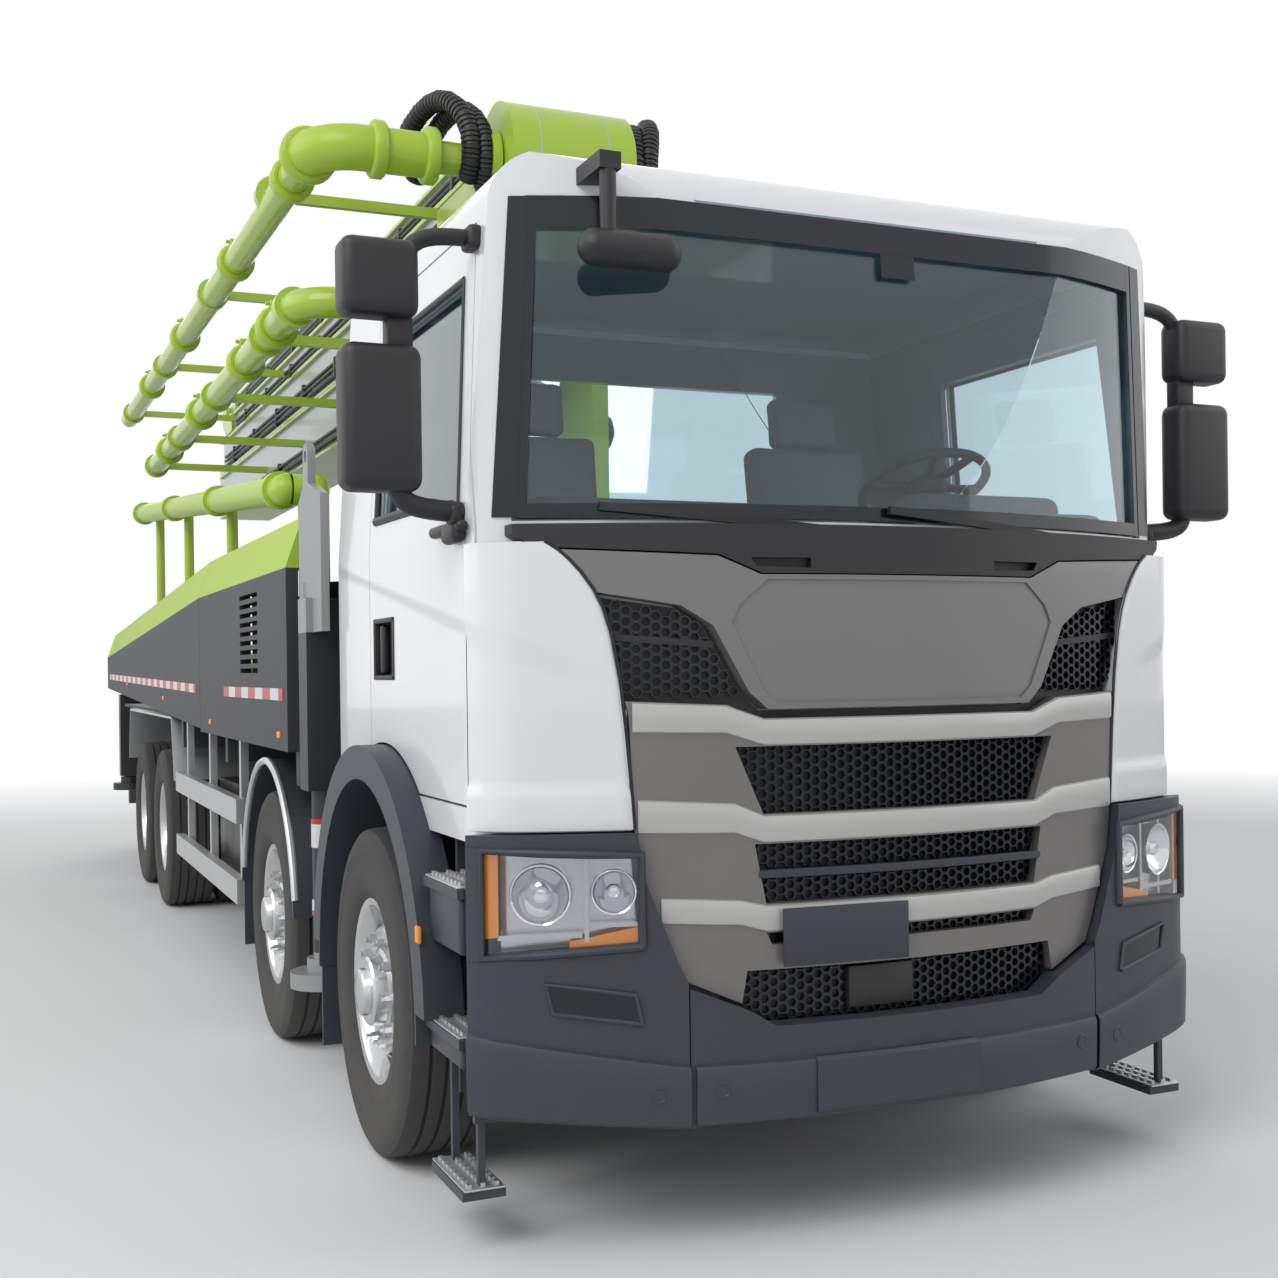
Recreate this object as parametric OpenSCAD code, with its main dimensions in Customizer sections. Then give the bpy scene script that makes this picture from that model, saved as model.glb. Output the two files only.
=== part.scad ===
/* [Overall] */
// Length over the bumper's nose and the folded boom's rear joint
overall_l = 12260; // [12000:10:12600]
// Distance from the bumper's nose back to axle 1
front_overhang = 1400; // [1380:5:1440]

/* [Axles and wheels] */
// Tyre outer radius, which sets the axle height
tyre_r = 530; // [515:1:535]
// Tyre section width
tyre_w = 315; // [290:1:320]
// Radius where a tyre meets its rim
bead_r = 290; // [280:1:296]
// Outer face of the outermost tyres from the middle of the truck
tyre_out_x = 1235; // [1225:1:1245]
// Gap between the tyres of a twin wheel
twin_gap = 30; // [20:1:40]
// Distance from axle 1 to axle 2
axle_12 = 1874; // [1860:2:1900]
// Distance from axle 2 to axle 3
axle_23 = 4418; // [4380:2:4460]
// Distance from axle 3 to axle 4
axle_34 = 1370; // [1340:2:1400]
// Kingpin distance from the middle of the truck
kingpin_x = 880; // [870:1:890]
// Kingpin radius
kingpin_r = 25; // [20:1:30]
// Wheel spindle radius
spindle_r = 45; // [40:1:50]
// Running clearance round a turning pin or spindle
pin_gap = 0.5; // [0.3:0.1:1]

/* [Chassis] */
// Outer face of a frame rail from the middle of the truck
rail_x = 430; // [420:1:440]
// Frame rail height
rail_h = 300; // [280:1:310]
// Frame rail flange width
rail_w = 90; // [80:1:95]
// Frame rail plate thickness
rail_t = 10; // [8:1:14]
// Top of the frame rails above the ground
rail_top_z = 1000; // [990:1:1010]
// Distance from the boom's rear end to the rear end of the rails
rail_rear_inset = 420; // [400:5:500]

/* [Cab] */
// Half width of the cab over its doors
cab_hw = 1165; // [1150:1:1175]
// Thickness of the cab's walls, doors and roof
wall_t = 60; // [50:1:70]
// Distance from axle 1 back to the cab's rear wall
cab_rear = 680; // [660:1:700]
// Distance of the windscreen's middle ahead of axle 1
cab_nose = 1290; // [1280:1:1300]
// Cab floor underside above the ground
cab_floor_z = 1100; // [1095:1:1110]
// Joint between the cab's walls and its roof
roof_split_z = 2850; // [2830:1:2860]
// Top of the cab roof
roof_top_z = 2965; // [2950:1:2970]
// Foot of the windscreen above the ground
belt_z = 1960; // [1940:1:1980]
// Radius of the front's curve seen from above
nose_r = 2600; // [2400:10:2900]
// Shut gap round a door
door_gap = 7; // [6:0.5:10]
// Front edge of the doors ahead of axle 1
door_front = 1000; // [990:1:1005]
// Rear edge of the doors behind axle 1
door_rear = 180; // [160:1:200]
// Lower edge of the doors above the ground
door_low_z = 1200; // [1190:1:1215]
// Half width of the bumper
bumper_hw = 1245; // [1235:1:1255]
// Half width of the panels round the grille
front_hw = 1180; // [1175:1:1190]
// Inner radius of the front wheel arches
arch_r = 690; // [680:1:700]
// Width of the flare round a front wheel arch
flare_w = 110; // [90:1:115]
// Reach of the mirrors from the middle of the truck
mirror_x = 1500; // [1480:1:1520]

/* [Pump body] */
// Outer face of the side covers from the middle of the truck
cover_x = 1240; // [1235:1:1250]
// Thickness of the side covers
cover_t = 50; // [40:1:60]
// Top of the side covers at the front
cover_top_z = 2195; // [2180:1:2210]
// Top of the deck plate above the ground
deck_z = 1320; // [1310:1:1330]
// Height of the sub-frame beams on the rails
beam_h = 150; // [140:1:160]
// Distance of the slewing axis behind axle 1
slew_back = 1950; // [1940:1:1980]
// Underside of the slewing ring above the ground
ring_z = 2110; // [2100:1:2120]
// Square size of an outrigger leg tube
leg_w = 160; // [150:1:170]
// Radius of a jack ram
ram_r = 52; // [45:1:55]
// Radius of a jack foot
foot_r = 140; // [120:1:145]
// Clearance round a sliding arm or ram
slide_gap = 6; // [5.5:0.5:8]
// Underside of the front jack feet above the ground
front_foot_z = 370; // [350:5:400]
// Underside of the rear jack feet above the ground
rear_foot_z = 560; // [520:5:600]
// Distance of the rear outriggers behind axle 4
rear_leg_back = 2090; // [2060:5:2120]

/* [Boom] */
// Underside of the folded boom above the ground
boom_z = 3040; // [3030:1:3060]
// Height of boom section 1
boom_1_h = 400; // [380:1:405]
// Height of boom section 2
boom_2_h = 310; // [290:1:315]
// Height of boom section 3
boom_3_h = 180; // [170:1:185]
// Height of boom section 4
boom_4_h = 140; // [130:1:145]
// Gap between folded boom sections
fold_gap = 20; // [16:1:24]
// Width of boom section 1
boom_w = 460; // [440:1:480]
// Radius of the eye at a boom joint
eye_r = 120; // [110:1:125]
// Radius of a boom joint pin
boom_pin_r = 50; // [40:1:60]
// Radius of the concrete pipe
pipe_r = 70; // [62:1:75]
// Distance of the boom's pipes from the middle of the truck
pipe_x = 1050; // [1040:1:1070]
// Radius of a lift cylinder's barrel
barrel_r = 80; // [70:1:84]
// Radius of a lift cylinder's rod
rod_r = 48; // [40:1:52]

/* [Hidden] */
$fn = 64;
front_y = -overall_l / 2;
rear_y = overall_l / 2;
axle_1_y = front_y + front_overhang;
axle_2_y = axle_1_y + axle_12;
axle_3_y = axle_2_y + axle_23;
axle_4_y = axle_3_y + axle_34;
axle_z = tyre_r;
steer_y = [axle_1_y, axle_2_y];
drive_y = [axle_3_y, axle_4_y];
sides = [-1, 1];
eps = 0.01;

// Extrudes a side view, drawn as [y, z], from x0 to x1
module side_slab(x0, x1) {
    translate([x0, 0, 0]) rotate([90, 0, 90]) linear_extrude(x1 - x0) children();
}

// Extrudes a front view, drawn as [x, z], from y0 to y1
module front_slab(y0, y1) {
    translate([0, y1, 0]) rotate([90, 0, 0]) linear_extrude(y1 - y0) children();
}

// Box between two opposite corners
module box(a, b) {
    translate(a) cube(b - a);
}

// Rod along x between two places
module rod_x(x0, x1, y, z, r) {
    translate([x0, y, z]) rotate([0, 90, 0]) cylinder(r = r, h = x1 - x0);
}

// Rod along y between two places
module rod_y(x, y0, y1, z, r) {
    translate([x, y0, z]) rotate([-90, 0, 0]) cylinder(r = r, h = y1 - y0);
}

// Copies its children to the truck's left as they are and mirrored to its right
module both_sides() {
    for (s = sides) scale_x(s) children();
}

module scale_x(s) {
    if (s > 0) children();
    else mirror([1, 0, 0]) children();
}

nose_facets = 480;

// Plan of a rounded front: a wide arc, two corner arcs tangent to it, and straight sides
module nose_plan(hw, nose, big_r, corner_r, back) {
    centre_y = nose + big_r;
    corner_x = hw - corner_r;
    corner_y = centre_y - sqrt(pow(big_r - corner_r, 2) - pow(corner_x, 2));
    wedge = 1.2 * big_r / (big_r - corner_r);
    far_x = corner_x * wedge;
    far_y = centre_y - (centre_y - corner_y) * wedge;
    intersection() {
        translate([-hw, nose - eps]) square([2 * hw, back - nose + eps]);
        union() {
            intersection() {
                translate([0, centre_y]) circle(r = big_r, $fn = nose_facets);
                polygon([[0, centre_y], [-far_x, far_y], [far_x, far_y]]);
            }
            for (s = sides) translate([s * corner_x, corner_y]) circle(r = corner_r, $fn = nose_facets / 4);
            translate([-hw, corner_y]) square([2 * hw, back - corner_y]);
        }
    }
}

// Wall of even thickness that follows a rounded front, from z0 up to z1
module nose_wall(hw, nose, corner_r, t, back, z0, z1, sunk = 0) {
    translate([0, 0, z0]) linear_extrude(z1 - z0) difference() {
        nose_plan(hw - sunk, nose + sunk, nose_r - sunk, corner_r - sunk, back);
        nose_plan(hw - t, nose + t, nose_r - t, corner_r - t, back + 1);
    }
}

// Chassis

rail_z0 = rail_top_z - rail_h;
rail_front_y = front_y + 260;
rail_rear_y = rear_y - rail_rear_inset;
rail_inner_x = rail_x - rail_w;

module rail_section() {
    difference() {
        translate([rail_inner_x, rail_z0]) square([rail_w, rail_h]);
        translate([rail_inner_x - 1, rail_z0 + rail_t])
            square([rail_w - rail_t + 1, rail_h - 2 * rail_t]);
    }
}

cross_y = [axle_1_y - 900, axle_2_y + 700, axle_2_y + 2300, axle_3_y - 700, axle_4_y + 800,
    rail_rear_y - 120];
cross_t = 120;
bumper_beam_z = 480;
bumper_beam_h = 110;

module chassis_frame() {
    color("dimgray") {
        both_sides() front_slab(rail_front_y, rail_rear_y) rail_section();
        for (y = cross_y)
            box([-rail_x + rail_t, y, rail_z0 + rail_t], [rail_x - rail_t, y + cross_t,
                rail_z0 + rail_h / 2]);
        intersection() {
            translate([0, 0, bumper_beam_z]) linear_extrude(bumper_beam_h) nose_plan(bumper_hw - bumper_in,
                bumper_nose_y + bumper_in, nose_r - bumper_in, bumper_corner_r - bumper_in, rail_front_y);
            box([-1150, front_y, bumper_beam_z], [1150, rail_front_y, bumper_beam_z + bumper_beam_h]);
        }
        both_sides() box([rail_inner_x, rail_front_y - 1, bumper_beam_z], [rail_x, rail_front_y + 160,
            rail_z0]);
        both_sides() box([rail_inner_x, rail_rear_y - 160, 480], [rail_x, rail_rear_y - 40, rail_z0 + eps]);
        box([-1100, rail_rear_y - 160, 400], [1100, rail_rear_y - 40, 520]);
    }
}

engine_front = 560;
engine_rear = 740;

module engine_block() {
    color("gray") union() {
        box([-rail_inner_x, axle_1_y - engine_front, 620], [rail_inner_x, axle_1_y + engine_rear,
            cab_floor_z - 20]);
        rod_y(0, axle_1_y + engine_rear - 1, axle_1_y + engine_rear + 900, 850, 190);
    }
}

// Axles and their springs

axle_beam_d = 110;
beam_low_z = axle_z - 130;
beam_top_z = axle_z;
knuckle_boss_r = 60;
knuckle_boss_h = 150;
spring_t = 70;
spring_w = 80;
spring_r = 2000;
spring_half = 720;

module axle_beam_outline() {
    tip = kingpin_x - knuckle_boss_r / 2;
    polygon([
        [-tip, axle_z - 55], [-760, axle_z - 55], [-620, beam_low_z], [620, beam_low_z],
        [760, axle_z - 55], [tip, axle_z - 55], [tip, axle_z + 55], [740, axle_z + 55],
        [600, beam_top_z], [-600, beam_top_z], [-740, axle_z + 55], [-tip, axle_z + 55]
    ]);
}

module leaf_spring(y) {
    middle_x = rail_x - rail_w / 2;
    intersection() {
        box([middle_x - spring_w / 2, y - spring_half, beam_top_z - 1],
            [middle_x + spring_w / 2, y + spring_half, rail_z0]);
        difference() {
            rod_x(0, rail_x + spring_w, y, beam_top_z - 1 + spring_r, spring_r);
            rod_x(-1, rail_x + spring_w + 1, y, beam_top_z - 1 + spring_r, spring_r - spring_t);
        }
    }
}

module front_axles() {
    color("dimgray") for (y = steer_y) {
        difference() {
            union() {
                front_slab(y - axle_beam_d / 2, y + axle_beam_d / 2) axle_beam_outline();
                for (s = sides) translate([s * kingpin_x, y, axle_z - knuckle_boss_h / 2])
                    cylinder(r = knuckle_boss_r, h = knuckle_boss_h);
                both_sides() leaf_spring(y);
            }
            for (s = sides) translate([s * kingpin_x, y, 0])
                cylinder(r = kingpin_r + pin_gap, h = 2 * axle_z);
        }
    }
}

axle_tube_r = 75;
axle_tube_x = 840;
spindle_end_x = 1080;
bogie_t = 70;

module drive_axles() {
    color("dimgray") {
        for (y = drive_y) {
            rod_x(-axle_tube_x, axle_tube_x, y, axle_z, axle_tube_r);
            rod_x(-spindle_end_x, spindle_end_x, y, axle_z, spindle_r);
            rod_y(0, y - 190, y + 190, axle_z + 20, 215);
            both_sides() box([rail_inner_x + 5, y - 90, axle_z], [rail_x - 5, y + 90,
                rail_z0 - bogie_t + eps]);
        }
        rod_y(0, axle_3_y + 100, axle_4_y - 100, axle_z + 60, 50);
        both_sides() box([rail_inner_x + 5, axle_3_y - 300, rail_z0 - bogie_t], [rail_x - 5,
            axle_4_y + 300, rail_z0]);
    }
}

// Steering knuckles and wheels

fork_h = 50;
fork_gap = 6;
spindle_x = 1170;
fork_arm_x = 90;

module knuckle(s, y) {
    lug_z = knuckle_boss_h / 2 + fork_gap;
    color("dimgray") translate([0, y, axle_z]) scale_x(s) union() {
        translate([kingpin_x, 0, -lug_z - fork_h]) cylinder(r = kingpin_r, h = 2 * (lug_z + fork_h));
        for (up = sides) translate([kingpin_x, 0, up * (lug_z + fork_h / 2)]) {
            cylinder(r = knuckle_boss_r, h = fork_h, center = true);
            translate([0, -45, -fork_h / 2]) cube([fork_arm_x + 5, 90, fork_h]);
        }
        translate([kingpin_x + fork_arm_x - 20, -60, -lug_z - fork_h]) cube([35, 120, 2 * (lug_z + fork_h)]);
        rod_x(kingpin_x + fork_arm_x - 10, spindle_x, 0, 0, spindle_r);
    }
}

tyre_shoulder = 45;
rim_t = 14;
rim_gap = 0.3;

// Section of a tyre, drawn as [radius, distance from its middle]
module tyre_section() {
    half = tyre_w / 2;
    polygon([
        [bead_r, -half + 42], [bead_r + 16, -half + 42], [bead_r + 45, -half + 8], [tyre_r - 130, -half],
        [tyre_r - 60, -half + 8], [tyre_r - 12, -half + 30], [tyre_r, -half + tyre_shoulder + 20],
        [tyre_r, half - tyre_shoulder - 20], [tyre_r - 12, half - 30], [tyre_r - 60, half - 8],
        [tyre_r - 130, half], [bead_r + 45, half - 8], [bead_r + 16, half - 42], [bead_r, half - 42]
    ]);
}

module tyre(x) {
    translate([x, 0, 0]) rotate([0, 90, 0]) rotate_extrude($fn = 96) tyre_section();
}

// Rim barrel with its two flanges, drawn as [radius, distance from its middle]
module barrel_section() {
    half = tyre_w / 2 - 40;
    seat = bead_r - rim_gap;
    polygon([
        [seat - rim_t, -half - 14], [seat + 12, -half - 14], [seat + 12, -half - 1], [seat, -half - 1],
        [seat, half + 1], [seat + 12, half + 1], [seat + 12, half + 14], [seat - rim_t, half + 14]
    ]);
}

hub_r = 140;
disc_t = 16;
hub_cap_out = 70;

// Single wheel with a domed disc near its outer face
module single_wheel(s, y) {
    middle = tyre_out_x - tyre_w / 2;
    disc_x = middle + 55;
    translate([0, y, axle_z]) scale_x(s) {
        color("#26272a") tyre(middle);
        color("silver") difference() {
            union() {
                translate([middle, 0, 0]) rotate([0, 90, 0]) rotate_extrude($fn = 96) barrel_section();
                rod_x(disc_x, disc_x + disc_t, 0, 0, bead_r - rim_t / 2);
                rod_x(disc_x - 60, tyre_out_x, 0, 0, hub_r);
                rod_x(disc_x, tyre_out_x + hub_cap_out / 2, 0, 0, 85);
            }
            rod_x(0, spindle_x + 8, 0, 0, spindle_r + pin_gap);
        }
    }
}

// Twin wheel with its disc between the two tyres
module twin_wheel(s, y) {
    outer = tyre_out_x - tyre_w / 2;
    inner = outer - tyre_w - twin_gap;
    disc_x = (outer + inner) / 2;
    translate([0, y, axle_z]) scale_x(s) {
        color("#26272a") {
            tyre(outer);
            tyre(inner);
        }
        color("silver") difference() {
            union() {
                for (x = [outer, inner])
                    translate([x, 0, 0]) rotate([0, 90, 0]) rotate_extrude($fn = 96) barrel_section();
                difference() {
                    rod_x(inner, outer, 0, 0, bead_r - rim_t / 2);
                    rod_x(inner - 1, outer + 1, 0, 0, bead_r - 1.5 * rim_t);
                }
                rod_x(disc_x - disc_t, disc_x + disc_t, 0, 0, bead_r - rim_t);
                rod_x(disc_x - 40, spindle_end_x + 40, 0, 0, hub_r);
            }
            rod_x(0, spindle_end_x + 8, 0, 0, spindle_r + pin_gap);
        }
    }
}

// Cab body

seat_gap = 0.3;
cab_nose_y = axle_1_y - cab_nose;
cab_back_y = axle_1_y + cab_rear;
screen_rake = 90;
cab_lean = 55;
cab_corner_r = 130;
roof_front_r = 150;
roof_rear_r = 100;
roof_side_r = 140;

module cab_side_view(i) {
    nose = cab_nose_y + i;
    back = cab_back_y - i;
    top = roof_top_z - i;
    front_r = roof_front_r - i;
    rear_r = roof_rear_r - i;
    brow = nose + screen_rake;
    polygon([
        [nose, cab_floor_z + i], [back, cab_floor_z + i], [back, top - rear_r], [back - rear_r, top],
        [brow + front_r, top], [brow, top - front_r], [nose, belt_z]
    ]);
    translate([brow + front_r, top - front_r]) circle(r = front_r);
    translate([back - rear_r, top - rear_r]) circle(r = rear_r);
}

module cab_front_view(i) {
    hw = cab_hw - i;
    top_hw = cab_hw - cab_lean - i;
    top = roof_top_z - i;
    side_r = roof_side_r - i;
    polygon([
        [-hw, cab_floor_z + i], [hw, cab_floor_z + i], [hw, belt_z], [top_hw, top - side_r],
        [top_hw - side_r, top], [side_r - top_hw, top], [-top_hw, top - side_r], [-hw, belt_z]
    ]);
    for (s = sides) translate([s * (top_hw - side_r), top - side_r]) circle(r = side_r);
}

// The cab's outer form, shrunk evenly by i
module cab_solid(i) {
    intersection() {
        translate([0, 0, cab_floor_z + i]) linear_extrude(roof_top_z - cab_floor_z - 2 * i)
            nose_plan(cab_hw - i, cab_nose_y + i, nose_r - i, cab_corner_r - i, cab_back_y - i);
        side_slab(-cab_hw, cab_hw) cab_side_view(i);
        front_slab(cab_nose_y - 100, cab_back_y + 100) cab_front_view(i);
    }
}

// Skin of the cab between two depths
module cab_layer(outer, inner) {
    difference() {
        cab_solid(outer);
        cab_solid(inner);
    }
}

door_top_z = roof_split_z - 60;
door_front_y = axle_1_y - door_front;
door_rear_y = axle_1_y + door_rear;
flare_r = arch_r + flare_w;

// Side view of a door, larger by g all round
module door_outline(g) {
    polygon([
        [door_front_y - g, door_low_z - g], [door_rear_y + g, door_low_z - g],
        [door_rear_y + g, door_top_z + g], [door_front_y + 60 - g, door_top_z + g], [door_front_y - g, belt_z]
    ]);
}

// Room for a front wheel arch outside x
module arch_room(x, grow) {
    for (s = sides) scale_x(s) rod_x(x, 2 * cab_hw, axle_1_y, axle_z, flare_r + grow);
}

window_low_z = belt_z + 10;
window_top_z = 2660;

// Side view of a door's window, smaller by i all round
module window_outline(i) {
    polygon([
        [door_front_y + 95 + i, window_low_z + i], [door_front_y + 380, window_low_z + 85 + i],
        [door_rear_y - 75 - i, window_low_z + 95 + i], [door_rear_y - 75 - i, window_top_z - i],
        [door_front_y + 150 + i, window_top_z - i]
    ]);
}

screen_low_z = belt_z + 8;
screen_top_z = roof_split_z - 12;
screen_low_hw = 1062;
screen_top_hw = 1022;

// Front view of the windscreen, smaller by i all round
module screen_outline(i) {
    polygon([
        [-screen_low_hw + i, screen_low_z + i], [screen_low_hw - i, screen_low_z + i],
        [screen_top_hw - i, screen_top_z - i], [-screen_top_hw + i, screen_top_z - i]
    ]);
}

rear_window_hw = 620;
rear_window_z = [2130, 2680];

module rear_window_outline(i) {
    translate([-rear_window_hw + i, rear_window_z[0] + i])
        square([2 * (rear_window_hw - i), rear_window_z[1] - rear_window_z[0] - 2 * i]);
}

tunnel_hw = 290;
tunnel_top_z = 1420;
hinge_x = 1090;
hinge_z = [1450, 1800];
hinge_h = 110;

module cab_shell() {
    color("white") difference() {
        union() {
            intersection() {
                cab_layer(0, wall_t);
                box([-cab_hw - 1, cab_nose_y - 1, cab_floor_z - 1], [cab_hw + 1, cab_back_y + 1,
                    roof_split_z]);
            }
            intersection() {
                cab_solid(wall_t / 2);
                box([-tunnel_hw, axle_1_y - 700, cab_floor_z + wall_t / 2], [tunnel_hw, cab_back_y,
                    tunnel_top_z]);
            }
        }
        both_sides() side_slab(cab_hw - 3 * wall_t, cab_hw + 1) door_outline(door_gap);
        front_slab(cab_nose_y - 1, cab_nose_y + 400) screen_outline(0);
        front_slab(cab_back_y - 2 * wall_t, cab_back_y + 1) rear_window_outline(0);
        arch_room(liner_x, seat_gap);
    }
    color("white") both_sides() for (z = hinge_z)
        box([hinge_x, door_front_y - 2 * door_gap, z], [hinge_x + 35, door_front_y - seat_gap, z + hinge_h]);
}

module cab_roof() {
    color("white") intersection() {
        cab_layer(0, wall_t);
        box([-cab_hw - 1, cab_nose_y - 1, roof_split_z], [cab_hw + 1, cab_back_y + 1, roof_top_z + 1]);
    }
}

screen_depth = 14;
glass_t = 8;

module cab_glass() {
    color("lightblue") {
        intersection() {
            cab_layer(screen_depth, screen_depth + glass_t);
            front_slab(cab_nose_y, cab_nose_y + 400) screen_outline(seat_gap);
        }
        front_slab(cab_back_y - wall_t / 2, cab_back_y - wall_t / 2 + glass_t) rear_window_outline(seat_gap);
    }
}

handle_y = [axle_1_y - 150, axle_1_y + 120];
handle_z = [1540, 1740];
handle_depth = 35;

module door(s) {
    color("white") scale_x(s) difference() {
        intersection() {
            cab_layer(0, wall_t);
            side_slab(cab_hw - 2 * wall_t, cab_hw + 1) door_outline(0);
        }
        side_slab(0, cab_hw + 2) window_outline(0);
        arch_room(liner_x, door_gap);
        box([cab_hw - handle_depth, handle_y[0], handle_z[0]], [cab_hw + 1, handle_y[1], handle_z[1]]);
    }
}

module door_glass(s) {
    color("lightblue") scale_x(s) intersection() {
        cab_layer(wall_t / 2, wall_t / 2 + glass_t);
        side_slab(cab_hw - 2 * wall_t, cab_hw) window_outline(seat_gap);
    }
}

mirror_inner_x = mirror_x - 205;
mirror_y = axle_1_y - 950;
mirror_d = 120;
mirror_r = 40;

// Rounded housing seen from the front
module mirror_housing(z0, z1) {
    front_slab(mirror_y - mirror_d / 2, mirror_y + mirror_d / 2) {
        for (x = [mirror_inner_x + mirror_r, mirror_x - mirror_r], z = [z0 + mirror_r, z1 - mirror_r])
            translate([x, z]) circle(r = mirror_r);
        translate([mirror_inner_x + mirror_r, z0]) square([mirror_x - mirror_inner_x - 2 * mirror_r,
            z1 - z0]);
        translate([mirror_inner_x, z0 + mirror_r]) square([mirror_x - mirror_inner_x,
            z1 - z0 - 2 * mirror_r]);
    }
}

module side_mirror(s) {
    stem_x = mirror_inner_x + 45;
    color("#2b2c30") scale_x(s) difference() {
        union() {
            mirror_housing(2465, 2710);
            mirror_housing(2040, 2435);
            translate([stem_x, mirror_y, 1985]) cylinder(r = 26, h = 780);
            rod_x(cab_hw - 2 * wall_t, stem_x, mirror_y, 2745, 24);
            rod_x(cab_hw - 2 * wall_t, stem_x, mirror_y, 2005, 28);
            translate([cab_hw - wall_t, mirror_y + 35, 1940]) cylinder(r = 62, h = 85);
        }
        cab_solid(-seat_gap);
    }
}

// Front panels, grille, bumper and lamps

front_nose_y = front_y + 40;
front_corner_r = 200;
bumper_nose_y = front_y;
bumper_corner_r = 240;
bumper_t = 70;
bumper_in = bumper_t + seat_gap;
panel_gap = 4;
curve_gap = 3;
corner_low_z = 1135;
hood_low_z = 1453;
hood_dip_z = 1818;
hood_top_z = 1888;

// Layer between the cab's front wall and the front panels' face, with its face sunk by a depth
module front_layer(z0, z1, sunk) {
    g = curve_gap;
    translate([0, 0, z0]) linear_extrude(z1 - z0) difference() {
        nose_plan(front_hw - sunk, front_nose_y + sunk, nose_r - sunk, front_corner_r - sunk,
            door_front_y - door_gap);
        nose_plan(cab_hw + g, cab_nose_y - g, nose_r + g, cab_corner_r + g, cab_back_y);
    }
}

// Wraps a front view, drawn as [x, z], on the front layer
module on_front(z0, z1, sunk = 0) {
    intersection() {
        front_layer(z0, z1, sunk);
        front_slab(front_y, axle_1_y) children();
    }
}

// Repeats a half view on both sides of the middle
module both_views() {
    children();
    mirror([1, 0]) children();
}

hood_edge = [[880, 1772], [660, 1735], [575, 1680], [480, 1500], [428, hood_low_z]];
hood_field_edge = [[425, 1805], [500, 1740], [525, 1690], [440, 1505], [400, 1470]];
hood_relief = 6;

// A half view's points on the other side, in the opposite order
function mirrored_view(points) = [for (i = [len(points) - 1 : -1 : 0]) [-points[i][0], points[i][1]]];

module hood_view() {
    half = concat([[443, hood_dip_z], [560, 1868], [1010, hood_top_z]], hood_edge);
    polygon(concat(half, mirrored_view(half)));
}

module hood_field() {
    polygon(concat(hood_field_edge, mirrored_view(hood_field_edge)));
}

module hood_panel() {
    color("#77726d") {
        on_front(hood_low_z, hood_top_z) difference() {
            hood_view();
            hood_field();
        }
        on_front(hood_low_z, hood_top_z, hood_relief) hood_field();
    }
}

module corner_panels() {
    color("white") on_front(corner_low_z, hood_top_z + 20) both_views() polygon([
        [1010 + panel_gap, hood_top_z], [1060, hood_top_z + 20], [front_hw + 1, hood_top_z + 20],
        [front_hw + 1, corner_low_z], [790 + panel_gap, corner_low_z], [800 + panel_gap, hood_low_z],
        [890 + panel_gap, 1765]
    ]);
}

bar_t = 40;
bar_top_z = 1428;
bar_low_z = 660;
bar_end_z = 1480;
// Openings between the bars, from the top down: half width and height of the upper edge, then of the lower
bar_openings = [[520, 1352, 445, 1168], [470, 1088, 456, 1012], [454, 1000, 440, 925], [440, 847, 425, 814]];
bar_outline = [
    [455, bar_top_z], [540, 1466], [808, bar_end_z], [798, 1440], [786, 1110], [770, 1000], [690, 790],
    [660, 727], [510, bar_low_z], [495, 747]
];

module grille_bars() {
    color("#a39d92") intersection() {
        nose_wall(front_hw, front_nose_y, front_corner_r, bar_t, door_front_y, bar_low_z, bar_end_z);
        front_slab(front_y, axle_1_y) difference() {
            polygon(concat(bar_outline, mirrored_view(bar_outline)));
            for (c = bar_openings) polygon([[-c[0], c[1]], [c[0], c[1]], [c[2], c[3]], [-c[2], c[3]]]);
        }
    }
}

mesh_low_z = 604;
mesh_outline = [
    [433, hood_low_z - 6], [486, 1497], [582, 1677], [662, 1729], [886, 1764], [799, hood_low_z],
    [785, corner_low_z], [740, 1000], [650, 790], [470, mesh_low_z]
];
mesh_divider = [[566, 1620], [566, 1638], [850, 1662], [850, 1644]];

module grille_mesh() {
    t = bar_t + 2 * curve_gap;
    g = curve_gap;
    color("#1c1d1f") {
        intersection() {
            translate([0, 0, mesh_low_z]) linear_extrude(hood_top_z - mesh_low_z) difference() {
                nose_plan(front_hw - t, front_nose_y + t, nose_r - t, front_corner_r - t, door_front_y);
                nose_plan(cab_hw + g, cab_nose_y - g, nose_r + g, cab_corner_r + g, cab_back_y);
            }
            front_slab(front_y, axle_1_y) polygon(concat(mesh_outline, mirrored_view(mesh_outline)));
        }
        intersection() {
            nose_wall(front_hw, front_nose_y, front_corner_r, t + g, door_front_y, hood_low_z,
                hood_top_z, t / 2);
            front_slab(front_y, axle_1_y) both_views() polygon(mesh_divider);
        }
    }
}

bumper_low_z = 342;
bumper_top_z = corner_low_z - panel_gap;
bumper_split_x = 666;
bumper_back_y = axle_1_y - 1070;

module lamp_outline(i) {
    polygon([
        [775 + i, 835 + i], [bumper_hw + 1, 805 + i], [bumper_hw + 1, 1095 - i], [790 + i, 1072 - i]
    ]);
}

bumper_arch_z = 386;

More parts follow.
